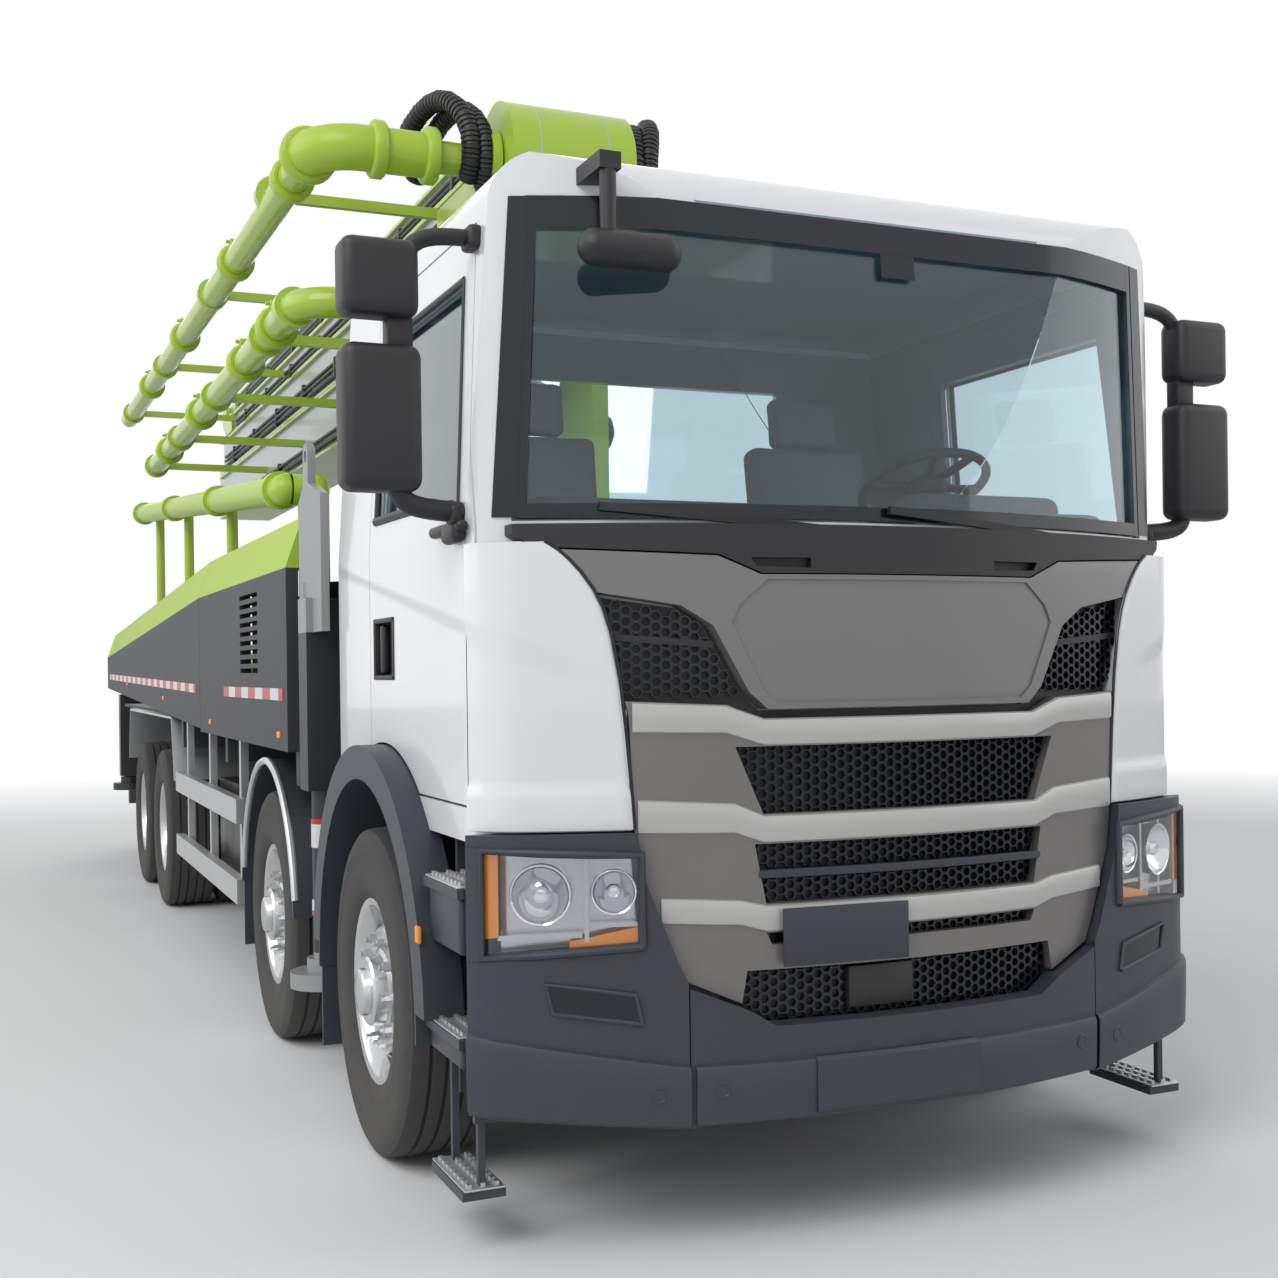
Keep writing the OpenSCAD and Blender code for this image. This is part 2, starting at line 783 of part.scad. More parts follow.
module bumper_view() {
    split = bumper_split_x - panel_gap / 2;
    half = [[400, bumper_arch_z], [split, bumper_low_z], [split, 714], [508, 648], [432, 602]];
    polygon(concat(half, mirrored_view(half)));
    both_views() difference() {
        polygon([
            [split + panel_gap, bumper_low_z], [bumper_hw + 1, bumper_low_z + 50], [bumper_hw + 1,
                bumper_top_z],
            [794, bumper_top_z], [774, 1000], [696, 790], [split + panel_gap, 730]
        ]);
        lamp_outline(0);
    }
}

module bumper() {
    color("#3a3d42") intersection() {
        nose_wall(bumper_hw, bumper_nose_y, bumper_corner_r, bumper_t, bumper_back_y, bumper_low_z,
            bumper_top_z);
        front_slab(front_y - 1, axle_1_y) bumper_view();
    }
}

lamp_t = 60;
lamp_depth = 6;

module headlamps() {
    color("lightgray") intersection() {
        nose_wall(bumper_hw - lamp_depth, bumper_nose_y + lamp_depth, bumper_corner_r - lamp_depth, lamp_t,
            bumper_back_y - lamp_depth, bumper_low_z, bumper_top_z);
        front_slab(front_y - 1, axle_1_y) both_views() lamp_outline(seat_gap);
    }
}

cowl_top_z = belt_z - 5;
wiper_t = 18;
wiper_out = 28;
grip_depth = 25;
cowl_outline = [
    [440, hood_dip_z + panel_gap], [557, 1873], [1004, hood_top_z + 5], [1052, hood_top_z + 20], [1080,
        hood_top_z + 40],
    [1080, cowl_top_z]
];

// Blade or arm of a wiper between two points of the front view
module wiper_strip(a, b, w) {
    d = (b - a) / norm(b - a);
    n = [-d[1], d[0]] * w / 2;
    polygon([a - n, b - n, b + n, a + n]);
}

// Grips in the cowl
module grip_view() {
    both_views() polygon([[300, 1836], [455, 1840], [470, 1864], [300, 1864]]);
}

module wipers() {
    color("#1c1d1f") {
        on_front(hood_dip_z + panel_gap, cowl_top_z) difference() {
            polygon(concat(cowl_outline, mirrored_view(cowl_outline)));
            grip_view();
        }
        on_front(hood_dip_z + panel_gap, cowl_top_z, grip_depth) grip_view();
        intersection() {
            nose_wall(front_hw, cab_nose_y - wiper_out, front_corner_r, wiper_t, door_front_y,
                hood_top_z, 2100);
            front_slab(front_y, axle_1_y) {
                wiper_strip([-60, cowl_top_z - 25], [-850, 2005], 22);
                wiper_strip([760, cowl_top_z - 25], [-30, 2005], 22);
            }
        }
    }
}

front_mirror_x = -800;
front_mirror_y = axle_1_y - 1290;
front_mirror_z = 2665;
front_mirror_r = 50;
front_mirror_l = 95;

module front_mirror() {
    color("#2b2c30") difference() {
        union() {
            rod_x(front_mirror_x - front_mirror_l, front_mirror_x + front_mirror_l, front_mirror_y,
                front_mirror_z, front_mirror_r);
            for (s = sides)
                translate([front_mirror_x + s * front_mirror_l, front_mirror_y,
                    front_mirror_z]) sphere(r = front_mirror_r);
            translate([front_mirror_x - 60, front_mirror_y, 2700]) cylinder(r = 22, h = 200);
            box([front_mirror_x - 90, front_mirror_y - 22, 2870], [front_mirror_x - 30,
                front_mirror_y + 260, 2915]);
        }
        cab_solid(-seat_gap);
    }
}

// Cab interior, steps and front wheel arches

seat_x = 560;
cab_inside_z = cab_floor_z + wall_t;
wheel_rim_r = 215;
dash_hx = cab_hw - 2 * wall_t - 15;

module seat() {
    box([-240, axle_1_y - 260, cab_inside_z], [240, axle_1_y + 260, cab_inside_z + 330]);
    box([-260, axle_1_y - 300, cab_inside_z + 330], [260, axle_1_y + 250, cab_inside_z + 470]);
    translate([0, axle_1_y + 180, cab_inside_z + 400]) rotate([-8, 0, 0]) {
        box([-250, 0, 0], [250, 140, 640]);
        box([-150, 20, 630], [150, 120, 830]);
    }
}

module cab_interior() {
    color("gray") {
        for (s = sides) translate([s * seat_x, 0, 0]) seat();
        intersection() {
            cab_solid(wall_t + seat_gap);
            box([-dash_hx, cab_nose_y, 1480], [dash_hx, axle_1_y - 760, 1925]);
        }
        translate([seat_x, axle_1_y - 560, 1950]) rotate([-35, 0, 0]) {
            rotate_extrude() translate([wheel_rim_r, 0]) circle(r = 16);
            translate([0, 0, -60]) cylinder(r = 60, h = 70);
            translate([-wheel_rim_r, -14, -12]) cube([2 * wheel_rim_r, 28, 24]);
            translate([0, 0, -420]) cylinder(r = 38, h = 400);
        }
    }
}

liner_x = 850;
liner_t = 12;
fender_reach = 85;
fender_out_x = cab_hw + fender_reach;
flap_t = 15;

// Ring of a wheel arch round an axle above a height
module arch_ring(y, x0, x1, r0, r1, low_z) {
    difference() {
        rod_x(x0, x1, y, axle_z, r1);
        rod_x(x0 - 1, x1 + 1, y, axle_z, r0);
        box([x0 - 1, y - r1 - 1, axle_z - r1 - 1], [x1 + 1, y + r1 + 1, low_z]);
    }
}

rear_arch_r = 655;

module front_fenders() {
    color("#3a3d42") both_sides() {
        arch_ring(axle_1_y, liner_x, fender_out_x, arch_r, arch_r + liner_t, 500);
        arch_ring(axle_1_y, cab_hw - wall_t / 2, fender_out_x, arch_r, flare_r, 590);
        box([liner_x, axle_1_y + arch_r + 3, 210], [fender_out_x - 10, axle_1_y + arch_r + 3 + flap_t, 760]);
        rod_x(rail_x, liner_x + 20, axle_1_y + arch_r + 3 + flap_t / 2, 730, 25);
        arch_ring(axle_2_y, liner_x, fender_out_x, rear_arch_r, rear_arch_r + liner_t, 600);
        box([liner_x, axle_2_y + rear_arch_r, 300], [fender_out_x - 10, axle_2_y + rear_arch_r + flap_t,
            760]);
        rod_x(rail_x, liner_x + 20, axle_2_y + rear_arch_r + flap_t / 2, 740, 28);
    }
}

step_front_y = axle_1_y - 1062;
step_rear_y = axle_1_y - arch_r - 20;
step_x = [890, bumper_hw - 20];
step_z = [960, 560, 150];
tread_t = 26;

module cab_steps() {
    color("#3a3d42") both_sides() {
        box([step_x[0], step_front_y, 360], [step_x[0] + 30, step_rear_y, cab_floor_z]);
        box([step_x[0], step_front_y, 360], [step_x[1] - 40, step_front_y + 20, cab_floor_z]);
        box([step_x[0], step_rear_y - 20, 360], [cab_hw - wall_t / 2 - 5, step_rear_y, cab_floor_z]);
        for (z = [step_z[0], step_z[1]])
            box([step_x[0], step_front_y, z], [step_x[1], step_rear_y, z + tread_t]);
        box([step_x[1] - 130, step_front_y + 20, step_z[2]], [step_x[1] - 10, step_rear_y - 20,
            step_z[2] + tread_t]);
        for (y = [step_front_y + 40, step_rear_y - 60])
            box([step_x[1] - 80, y, step_z[2]], [step_x[1] - 60, y + 20, step_z[1] + 5]);
    }
}

// Pump body on the chassis

slew_y = axle_1_y + slew_back;
beam_top = rail_top_z + beam_h;
deck_t = 20;
deck_front_y = axle_1_y + 1340;
rear_leg_y = axle_4_y + rear_leg_back;
rear_box_d = 400;
rear_box_hx = 1020;
rear_arm_h = 200;
rear_arm_w = 130;
rear_arm_z = beam_top + 40;
rear_arm_y = [rear_leg_y + 95, rear_leg_y - 95];
deck_rear_y = rear_leg_y - rear_box_d / 2;
pedestal_hx = 600;
pedestal_hy = 560;
front_leg_x = 1160;
front_leg_y = axle_1_y + 1000;
front_arm_w = 180;
front_arm_h = 230;
front_arm_z = 1685;
front_arm_l = 1400;

// Diagonal front arm drawn from its leg inwards, larger by g all round and by under below
module front_arm(g, under) {
    translate([front_leg_x, front_leg_y, front_arm_z]) rotate([0, 0, 135])
        box([0, -front_arm_w / 2 - g, -under], [front_arm_l + g, front_arm_w / 2 + g, front_arm_h + g]);
}

// Transverse rear arm of the left side or, as a mirror image, of the right side
module rear_arm(s, g, under) {
    y = rear_arm_y[s > 0 ? 1 : 0];
    scale_x(s) box([-rear_box_hx + 40 - g, y - rear_arm_w / 2 - g, rear_arm_z - under],
        [rear_leg_x, y + rear_arm_w / 2 + g, rear_arm_z + rear_arm_h + g]);
}

module pump_subframe() {
    color("dimgray") difference() {
        union() {
            both_sides() box([rail_inner_x, axle_1_y + 900, rail_top_z], [rail_x,
                rear_leg_y + rear_box_d / 2, beam_top]);
            box([-cover_x + cover_t, deck_front_y, deck_z - deck_t], [cover_x - cover_t, deck_rear_y,
                deck_z]);
            for (y = [deck_front_y + 20, axle_2_y + 1500, axle_3_y - 1000, axle_4_y + 900])
                box([-cover_x + cover_t, y, beam_top - 40], [cover_x - cover_t, y + 80, deck_z - deck_t / 2]);
            box([-pedestal_hx, slew_y - pedestal_hy, beam_top - eps], [pedestal_hx, slew_y + pedestal_hy,
                ring_z]);
            box([-rear_box_hx, deck_rear_y, beam_top - eps],
                [rear_box_hx, rear_leg_y + rear_box_d / 2, rear_arm_z + rear_arm_h + 40]);
        }
        both_sides() front_arm(slide_gap, seat_gap);
        for (s = sides) rear_arm(s, slide_gap, seat_gap);
    }
}

cover_low_z = 1250;
cover_bend_z = cover_top_z - 200;
cover_split_y = axle_1_y + 4060;
cover_rear_y = rear_y - 130;
cover_drop = 2.2;
band_in = 70;
louvre_y = [axle_1_y + 2060, axle_1_y + 2570];
louvre_z = [1570, 1950];
louvre_count = 9;

// Section of a side cover: an upright panel under a band that leans inwards
module cover_section(low_z) {
    polygon([
        [cover_x - cover_t, low_z], [cover_x, low_z], [cover_x, cover_bend_z],
        [cover_x - band_in, cover_top_z], [cover_x - band_in - cover_t, cover_top_z], [cover_x - cover_t,
            cover_bend_z - 20]
    ]);
}

module side_covers() {
    pitch = (louvre_z[1] - louvre_z[0]) / louvre_count;
    color("#44474c") both_sides() {
        difference() {
            front_slab(deck_front_y, cover_split_y - panel_gap) cover_section(cover_low_z);
            for (i = [0 : louvre_count - 1])
                box([cover_x - cover_t - 1, louvre_y[0], louvre_z[0] + i * pitch],
                    [cover_x + 1, louvre_y[1], louvre_z[0] + (i + 0.5) * pitch]);
        }
        intersection() {
            translate([0, cover_split_y, cover_top_z]) rotate([-cover_drop, 0, 0])
                translate([0, -cover_split_y, -cover_top_z])
                    front_slab(cover_split_y - 100, cover_rear_y + 300) cover_section(900);
            side_slab(0, cover_x + 1) polygon([
                [cover_split_y + panel_gap, cover_low_z + 18], [cover_rear_y, cover_low_z + 200],
                [cover_rear_y, cover_top_z + 100], [cover_split_y + panel_gap, cover_top_z + 100]
            ]);
        }
    }
}

guard_x = cover_x - 5;
guard_t = 50;
guard_y = [axle_1_y + 2800, axle_3_y - 955];
guard_z = [450, 840];
guard_h = 120;

module side_guards() {
    under_deck = deck_z - deck_t;
    color("silver") both_sides() {
        for (z = guard_z) box([guard_x - guard_t, guard_y[0], z], [guard_x, guard_y[1], z + guard_h]);
        for (y = [guard_y[0] + 150, (guard_y[0] + guard_y[1]) / 2, guard_y[1] - 250])
            box([guard_x - guard_t - 35, y, guard_z[0]], [guard_x - guard_t + 2, y + 60, under_deck]);
    }
}

rear_fender_y = [axle_3_y - 760, axle_4_y + 760];
rear_fender_t = 15;

module rear_fenders() {
    top = deck_z - deck_t;
    color("silver") both_sides() side_slab(540, cover_x) polygon([
        [rear_fender_y[0] - 140, 900], [rear_fender_y[0], top - rear_fender_t], [rear_fender_y[1],
            top - rear_fender_t],
        [rear_fender_y[1] + 140, 900], [rear_fender_y[1] + 155, 900], [rear_fender_y[1] + 10, top],
        [rear_fender_y[0] - 10, top], [rear_fender_y[0] - 155, 900]
    ]);
}

module tanks() {
    color("#2b2c30") {
        box([-1110, axle_2_y + 1000, 480], [-rail_x, axle_2_y + 2400, rail_top_z - 20]);
        box([rail_x, axle_2_y + 1000, 520], [1080, axle_2_y + 1700, rail_top_z - 20]);
        for (y = [axle_2_y + 1780, axle_2_y + 2310]) rod_y(rail_x + 130, y, y + 500, 850, 130);
        box([-1000, slew_y + 750, deck_z], [-250, slew_y + 1700, deck_z + 620]);
        box([200, slew_y + 750, deck_z], [1000, slew_y + 2100, deck_z + 560]);
    }
}

hopper_y = [rear_leg_y + rear_box_d / 2 + 40, rear_y - 60];
hopper_top_z = 1640;
hopper_hx = 680;
hopper_t = 20;
hopper_slope = 140;

module hopper_outline(i) {
    polygon([
        [hopper_y[0] + i, hopper_top_z + i], [hopper_y[0] + i, 1350], [hopper_y[0] + hopper_slope + i,
            rail_top_z + i],
        [hopper_y[1] - hopper_slope - i, rail_top_z + i], [hopper_y[1] - i, 1350], [hopper_y[1] - i,
            hopper_top_z + i]
    ]);
}

module hopper() {
    color("#7ea63a") difference() {
        side_slab(-hopper_hx, hopper_hx) hopper_outline(0);
        side_slab(-hopper_hx + hopper_t, hopper_hx - hopper_t) hopper_outline(hopper_t);
    }
}

grate_t = 35;
grate_in = 6;
grate_bars = 9;

module hopper_grate() {
    z0 = hopper_top_z + pin_gap;
    x_in = hopper_hx - 60;
    hinge_y = hopper_y[0] + grate_in + grate_t / 2;
    color("dimgray") {
        rod_x(-hopper_hx, hopper_hx, hinge_y, z0 + grate_t / 2, grate_t / 2);
        difference() {
            box([-hopper_hx, hinge_y, z0], [hopper_hx, hopper_y[1], z0 + grate_t]);
            box([-x_in, hopper_y[0] + 60, z0 - 1], [x_in, hopper_y[1] - 60, z0 + grate_t + 1]);
        }
        for (i = [1 : grate_bars]) {
            x = -x_in + i * 2 * x_in / (grate_bars + 1);
            box([x - 6, hopper_y[0] + 59, z0], [x + 6, hopper_y[1] - 59, z0 + grate_t]);
        }
    }
}

pump_x = 170;
pump_z = 1640;
pump_r = 120;
line_front = [-1080, slew_y + 250, 2400];
line_rear = [-1120, slew_y + 6400, 2860];
riser_x = 960;
post_x = 1012;
post_r = 32;

// Straight pipe between two points
module pipe(a, b, r) {
    d = b - a;
    translate(a) rotate([0, acos(d[2] / norm(d)), atan2(d[1], d[0])]) cylinder(r = r, h = norm(d));
}

// Point at a share of the way between two others
function along(a, b, t) = a + (b - a) * t;

module delivery_line() {
    color("#9bc53d") {
        pipe(line_front, line_rear, pipe_r);
        translate(line_front) sphere(r = pipe_r + 3);
        rod_x(line_front[0], -riser_x, line_front[1], line_front[2], pipe_r);
        translate([-riser_x, line_front[1], deck_z]) cylinder(r = pipe_r, h = line_front[2] - deck_z);
        translate([-riser_x, line_front[1], line_front[2]]) sphere(r = pipe_r + 3);
        for (t = [0.02, 0.34, 0.67, 0.99]) {
            p = along(line_front, line_rear, t);
            pipe(p, along(line_front, line_rear, t + 0.012), pipe_r + 18);
        }
        for (t = [0.35, 0.68, 0.98]) {
            p = along(line_front, line_rear, t);
            translate([-post_x, p[1], deck_z]) cylinder(r = post_r, h = p[2] - deck_z);
            rod_x(p[0], -post_x, p[1], p[2] - post_r, post_r);
        }
    }
    color("gray") for (s = sides) {
        rod_y(s * pump_x, axle_3_y - 300, hopper_y[0], pump_z, pump_r);
        rod_y(s * pump_x, axle_3_y - 2200, axle_3_y - 300, pump_z, pump_r - 50);
        for (y = [axle_3_y - 2100, axle_3_y - 200, axle_4_y + 900])
            box([s * pump_x - 60, y, deck_z], [s * pump_x + 60, y + 120, pump_z]);
    }
}

leg_top_front = 1850;
leg_low_front = 1120;
eye_plate_x = [1185, 1215];

module front_outrigger(s) {
    y = front_leg_y;
    color("#2b2c30") scale_x(s) difference() {
        union() {
            front_arm(0, 0);
            box([front_leg_x - leg_w / 2, y - leg_w / 2, leg_low_front], [front_leg_x + leg_w / 2,
                y + leg_w / 2, leg_top_front]);
            side_slab(eye_plate_x[0], eye_plate_x[1]) {
                polygon([
                    [y - 250, 1720], [y + 180, 1720], [y + 180, 2230], [y + 80, 2290], [y + 80, 2395],
                    [y - 20, 2395], [y - 20, 2290], [y - 250, 2230]
                ]);
                translate([y + 30, 2395]) circle(r = 50);
            }
        }
        translate([front_leg_x, y, leg_low_front - 1]) cylinder(r = ram_r + slide_gap,
            h = leg_top_front - leg_low_front - 30);
        rod_x(eye_plate_x[0] - 1, eye_plate_x[1] + 1, y + 30, 2395, 24);
    }
}

rear_leg_x = 1130;
leg_top_rear = rear_arm_z + rear_arm_h + 10;
leg_low_rear = 680;

module rear_outrigger(s) {
    y = rear_arm_y[s > 0 ? 1 : 0];
    color("#2b2c30") difference() {
        union() {
            rear_arm(s, 0, 0);
            scale_x(s) box([rear_leg_x - leg_w / 2, y - leg_w / 2, leg_low_rear],
                [rear_leg_x + leg_w / 2, y + leg_w / 2, leg_top_rear]);
        }
        translate([s * rear_leg_x, y, leg_low_rear - 1]) cylinder(r = ram_r + slide_gap,
            h = leg_top_rear - leg_low_rear - 30);
    }
}

foot_h = 60;
piston_h = 50;

// Jack ram with its round foot; it hangs in its leg from z_top
module jack(x, y, foot_z, z_top) {
    color("silver") translate([x, y, 0]) {
        translate([0, 0, foot_z]) cylinder(r = foot_r, h = foot_h);
        translate([0, 0, foot_z + foot_h - eps]) cylinder(r = ram_r + 25, h = 50);
        translate([0, 0, foot_z + foot_h]) cylinder(r = ram_r, h = z_top - foot_z - foot_h);
        translate([0, 0, z_top - piston_h]) cylinder(r = ram_r + slide_gap - seat_gap, h = piston_h);
    }
}

// Turret and boom

pivot_z = boom_z + 170;
ring_h = 120;
ring_r = 520;
cheek_x = [250, 330];
cheek_r = 165;
cheek_hy = 150;
lift_x = cheek_x[1] + 110;
lift_foot = [slew_y + 350, pivot_z - 460];
lift_head = [slew_y + 1600, pivot_z];
lift_eye_r = 68;
lift_eye_hx = 80;
lift_pin_r = 40;
rod_eye_hx = 45;
lift_l = norm(lift_head - lift_foot);
lift_angle = atan2(lift_head[1] - lift_foot[1], lift_head[0] - lift_foot[0]);
barrel_l = lift_l - 240;
barrel_bore = [120, 150];

module turret() {
    base_z = ring_z + ring_h / 2;
    color("#8dbb3c") {
        translate([0, slew_y, ring_z + pin_gap]) cylinder(r = ring_r, h = ring_h - pin_gap);
        both_sides() {
            side_slab(cheek_x[0], cheek_x[1]) {
                translate([slew_y, pivot_z]) circle(r = cheek_r);
                translate(lift_foot) circle(r = 2 * lift_pin_r);
                polygon([
                    [slew_y - cheek_hy, base_z], [slew_y + cheek_r + 240, base_z],
                        [lift_foot[0] + 2 * lift_pin_r, lift_foot[1]],
                    [slew_y + cheek_r, pivot_z], [slew_y - cheek_hy, pivot_z]
                ]);
            }
            rod_x(cheek_x[1] - 1, lift_x + lift_eye_hx + 20, lift_foot[0], lift_foot[1], lift_pin_r);
        }
        rod_x(-cheek_x[0] - 1, cheek_x[0] + 1, slew_y, pivot_z, boom_pin_r);
    }
}

// Places its children, drawn along +y from the lower pin, on both lift cylinders
module on_lift() {
    for (s = sides) translate([s * lift_x, lift_foot[0], lift_foot[1]]) rotate([lift_angle, 0, 0]) children();
}

module lift_barrel() {
    color("#2b2c30") on_lift() difference() {
        union() {
            rod_x(-lift_eye_hx, lift_eye_hx, 0, 0, lift_eye_r + 12);
            rod_y(0, 40, barrel_l, 0, barrel_r);
        }
        rod_x(-lift_eye_hx - 1, lift_eye_hx + 1, 0, 0, lift_pin_r + pin_gap);
        rod_y(0, barrel_bore[0], barrel_l + 1, 0, rod_r + pin_gap);
    }
}

module lift_rod() {
    color("silver") on_lift() {
        rod_y(0, barrel_bore[1], lift_l - lift_eye_r + 10, 0, rod_r);
        difference() {
            rod_x(-rod_eye_hx, rod_eye_hx, lift_l, 0, lift_eye_r);
            rod_x(-rod_eye_hx - 1, rod_eye_hx + 1, lift_l, 0, lift_pin_r + pin_gap);
        }
    }
}

fold_1_z = boom_z + boom_1_h + fold_gap / 2;
fold_2_z = fold_1_z + boom_2_h + fold_gap;
fold_3_z = fold_2_z + boom_3_h + fold_gap;
rear_fold_y = rear_y - eye_r;
front_fold_y = slew_y - 400;
third_fold_y = rear_fold_y - 240;
head_r = 265;
head_hx = 280;
flange_t = 18;
flange_out = 25;
fork_t = 40;
fork_clear = 8;
boom_end = eye_r + 25;

// Box section of a boom with flanges wider than its webs
module boom_box(y0, y1, z0, h, w) {
    box([-w / 2 + flange_out, y0, z0], [w / 2 - flange_out, y1, z0 + h]);
    for (z = [z0, z0 + h - flange_t]) box([-w / 2, y0, z], [w / 2, y1, z + flange_t]);
}

// Two fork plates that carry a joint at y, z; back is where they meet their boom
module fork(y, z, half, r, back, z0, z1) {
    lo = min(y, back);
    hi = max(y, back);
    both_sides() side_slab(half + fork_clear, half + fork_clear + fork_t) {
        translate([y, z]) circle(r = r);
        polygon([[lo, z0], [hi, z0], [hi, z1], [lo, z1]]);
    }
    rod_x(-half - fork_clear - 1, half + fork_clear + 1, y, z, boom_pin_r);
}

// Eye of the upper section at a joint, with its web to the section's end
module eye(y, z, half, r, back, z0, z1) {
    lo = min(y, back);
    hi = max(y, back);
    rod_x(-half, half, y, z, r);
    side_slab(-half, half) polygon([[lo, z0], [hi, z0], [hi, z1], [lo, z1]]);
}

// Pipe bracket from a boom's side out to its pipe
module pipe_bracket(s, y, z, w) {
    x0 = w / 2 - flange_out - 1;
    scale_x(s) {
        box([x0, y - 20, z - 25], [pipe_x, y + 20, z + 25]);
        rod_y(pipe_x, y - 30, y + 30, z, pipe_r + 20);
    }
}

// Quarter elbow from a pipe that runs along y to one that runs inwards along x
module elbow(y, z) {
    translate([-pipe_x + elbow_bend, y, z])
        rotate_extrude(angle = 90, start = 180) translate([elbow_bend, 0]) circle(r = pipe_r);
}

boom_2_w = boom_w - 40;
boom_3_w = boom_w - 100;
boom_4_w = boom_w - 160;
joint_half = boom_4_w / 2 - 10;
elbow_bend = 190;
swivel_x = cheek_x[1] + fork_clear;

module boom_1() {
    half = cheek_x[0] - fork_clear;
    pipe_z = pivot_z;
    end_y = rear_fold_y - boom_end;
    color("#9bc53d") difference() {
        union() {
            rod_x(-half, half, slew_y, pivot_z, pivot_z - boom_z - 10);
            boom_box(slew_y + 60, end_y, boom_z, boom_1_h, boom_w);
            fork(rear_fold_y, fold_1_z, joint_half, eye_r, end_y - 400, boom_z + 60, fold_1_z);
            both_sides() rod_x(boom_w / 2 - flange_out - 1, lift_x - rod_eye_hx - slide_gap,
                lift_head[0], lift_head[1], lift_eye_r);
            rod_y(-pipe_x, slew_y + elbow_bend, slew_y + 6200, pipe_z, pipe_r);
            elbow(slew_y + elbow_bend, pipe_z);
            rod_y(-pipe_x, slew_y + elbow_bend - 40, slew_y + elbow_bend + 40, pipe_z, pipe_r + 20);
            rod_x(-pipe_x + elbow_bend, -swivel_x, slew_y, pipe_z, pipe_r);
            for (y = [slew_y + 900, slew_y + 2700, slew_y + 4500, slew_y + 6100]) pipe_bracket(-1, y,
                pipe_z, boom_w);
        }
        rod_x(-half - 1, half + 1, slew_y, pivot_z, boom_pin_r + pin_gap);
    }
}

module boom_2() {
    z0 = fold_1_z + fold_gap / 2;
    end_y = rear_fold_y - boom_end;
    start_y = front_fold_y + head_r + 30;
    pipe_z = z0 + boom_2_h / 2;
    color("#9bc53d") difference() {
        union() {
            boom_box(start_y, end_y, z0, boom_2_h, boom_2_w);
            eye(rear_fold_y, fold_1_z, joint_half, eye_r, end_y - 200, z0, z0 + boom_2_h - 60);
            fork(front_fold_y, fold_2_z, head_hx, eye_r + 20, start_y + 500, z0 + 10, fold_2_z);
            box([-head_hx - fork_clear - 1, start_y + 200, z0 + 10], [head_hx + fork_clear + 1,
                start_y + 500, fold_2_z - fold_gap / 2]);
            rod_y(pipe_x, start_y + 400, end_y - 300, pipe_z, pipe_r);
            for (y = [start_y + 700, 0, end_y - 900]) pipe_bracket(1, y, pipe_z, boom_2_w);
        }
        rod_x(-joint_half - 1, joint_half + 1, rear_fold_y, fold_1_z, boom_pin_r + pin_gap);
    }
}

module boom_3() {
    z0 = fold_2_z + fold_gap / 2;
    end_y = third_fold_y - boom_end;
    start_y = front_fold_y + head_r;
    pipe_front = [-pipe_x, front_fold_y + elbow_bend, fold_2_z];
    pipe_rear = [-pipe_x, end_y, z0 + boom_3_h / 2 + 30];
    color("#9bc53d") difference() {
        union() {
            rod_x(-head_hx, head_hx, front_fold_y, fold_2_z, head_r);
            boom_box(front_fold_y, end_y, z0, boom_3_h, boom_3_w);
            fork(third_fold_y, fold_3_z, joint_half, eye_r, end_y - 300, z0 + 20, fold_3_z);
            pipe(pipe_front, pipe_rear, pipe_r);
            elbow(front_fold_y + elbow_bend, fold_2_z);
            rod_y(-pipe_x, pipe_front[1] - 40, pipe_front[1] + 40, fold_2_z, pipe_r + 20);
            rod_x(-pipe_x + elbow_bend, -swivel_x, front_fold_y, fold_2_z, pipe_r);
            for (t = [0.1, 0.35, 0.65, 0.95]) {
                p = along(pipe_front, pipe_rear, t);
                pipe_bracket(-1, p[1], max(p[2], z0 + 50), boom_3_w);
            }
        }
        rod_x(-head_hx - 1, head_hx + 1, front_fold_y, fold_2_z, boom_pin_r + pin_gap);
    }
}

module boom_4() {
    z0 = fold_3_z + fold_gap / 2;
    end_y = third_fold_y - boom_end;
    start_y = front_fold_y + head_r + 60;
    color("#9bc53d") difference() {
        union() {
            boom_box(start_y, end_y, z0, boom_4_h, boom_4_w);
            eye(third_fold_y, fold_3_z, joint_half, eye_r, end_y - 200, z0, z0 + boom_4_h - 40);
        }
        rod_x(-joint_half - 1, joint_half + 1, third_fold_y, fold_3_z, boom_pin_r + pin_gap);
    }
}

chassis_frame();
engine_block();
front_axles();
drive_axles();
cab_shell();
cab_roof();
hood_panel();
corner_panels();
grille_bars();
grille_mesh();
bumper();
headlamps();
wipers();
cab_glass();
cab_interior();
cab_steps();
front_fenders();
front_mirror();
door(1);  // door_left
door(-1);  // door_right
door_glass(1);  // door_glass_left
door_glass(-1);  // door_glass_right
side_mirror(1);  // mirror_left
side_mirror(-1);  // mirror_right
knuckle(1, axle_1_y);  // knuckle_1_left
knuckle(-1, axle_1_y);  // knuckle_1_right
knuckle(1, axle_2_y);  // knuckle_2_left
knuckle(-1, axle_2_y);  // knuckle_2_right
single_wheel(1, axle_1_y);  // wheel_1_left
single_wheel(-1, axle_1_y);  // wheel_1_right
single_wheel(1, axle_2_y);  // wheel_2_left
single_wheel(-1, axle_2_y);  // wheel_2_right
twin_wheel(1, axle_3_y);  // wheel_3_left
twin_wheel(-1, axle_3_y);  // wheel_3_right
twin_wheel(1, axle_4_y);  // wheel_4_left
twin_wheel(-1, axle_4_y);  // wheel_4_right
pump_subframe();
side_covers();
side_guards();
rear_fenders();
tanks();
hopper();
hopper_grate();
delivery_line();
turret();
lift_barrel();
lift_rod();
boom_1();
boom_2();
boom_3();
boom_4();
front_outrigger(1);  // front_outrigger_left
front_outrigger(-1);  // front_outrigger_right
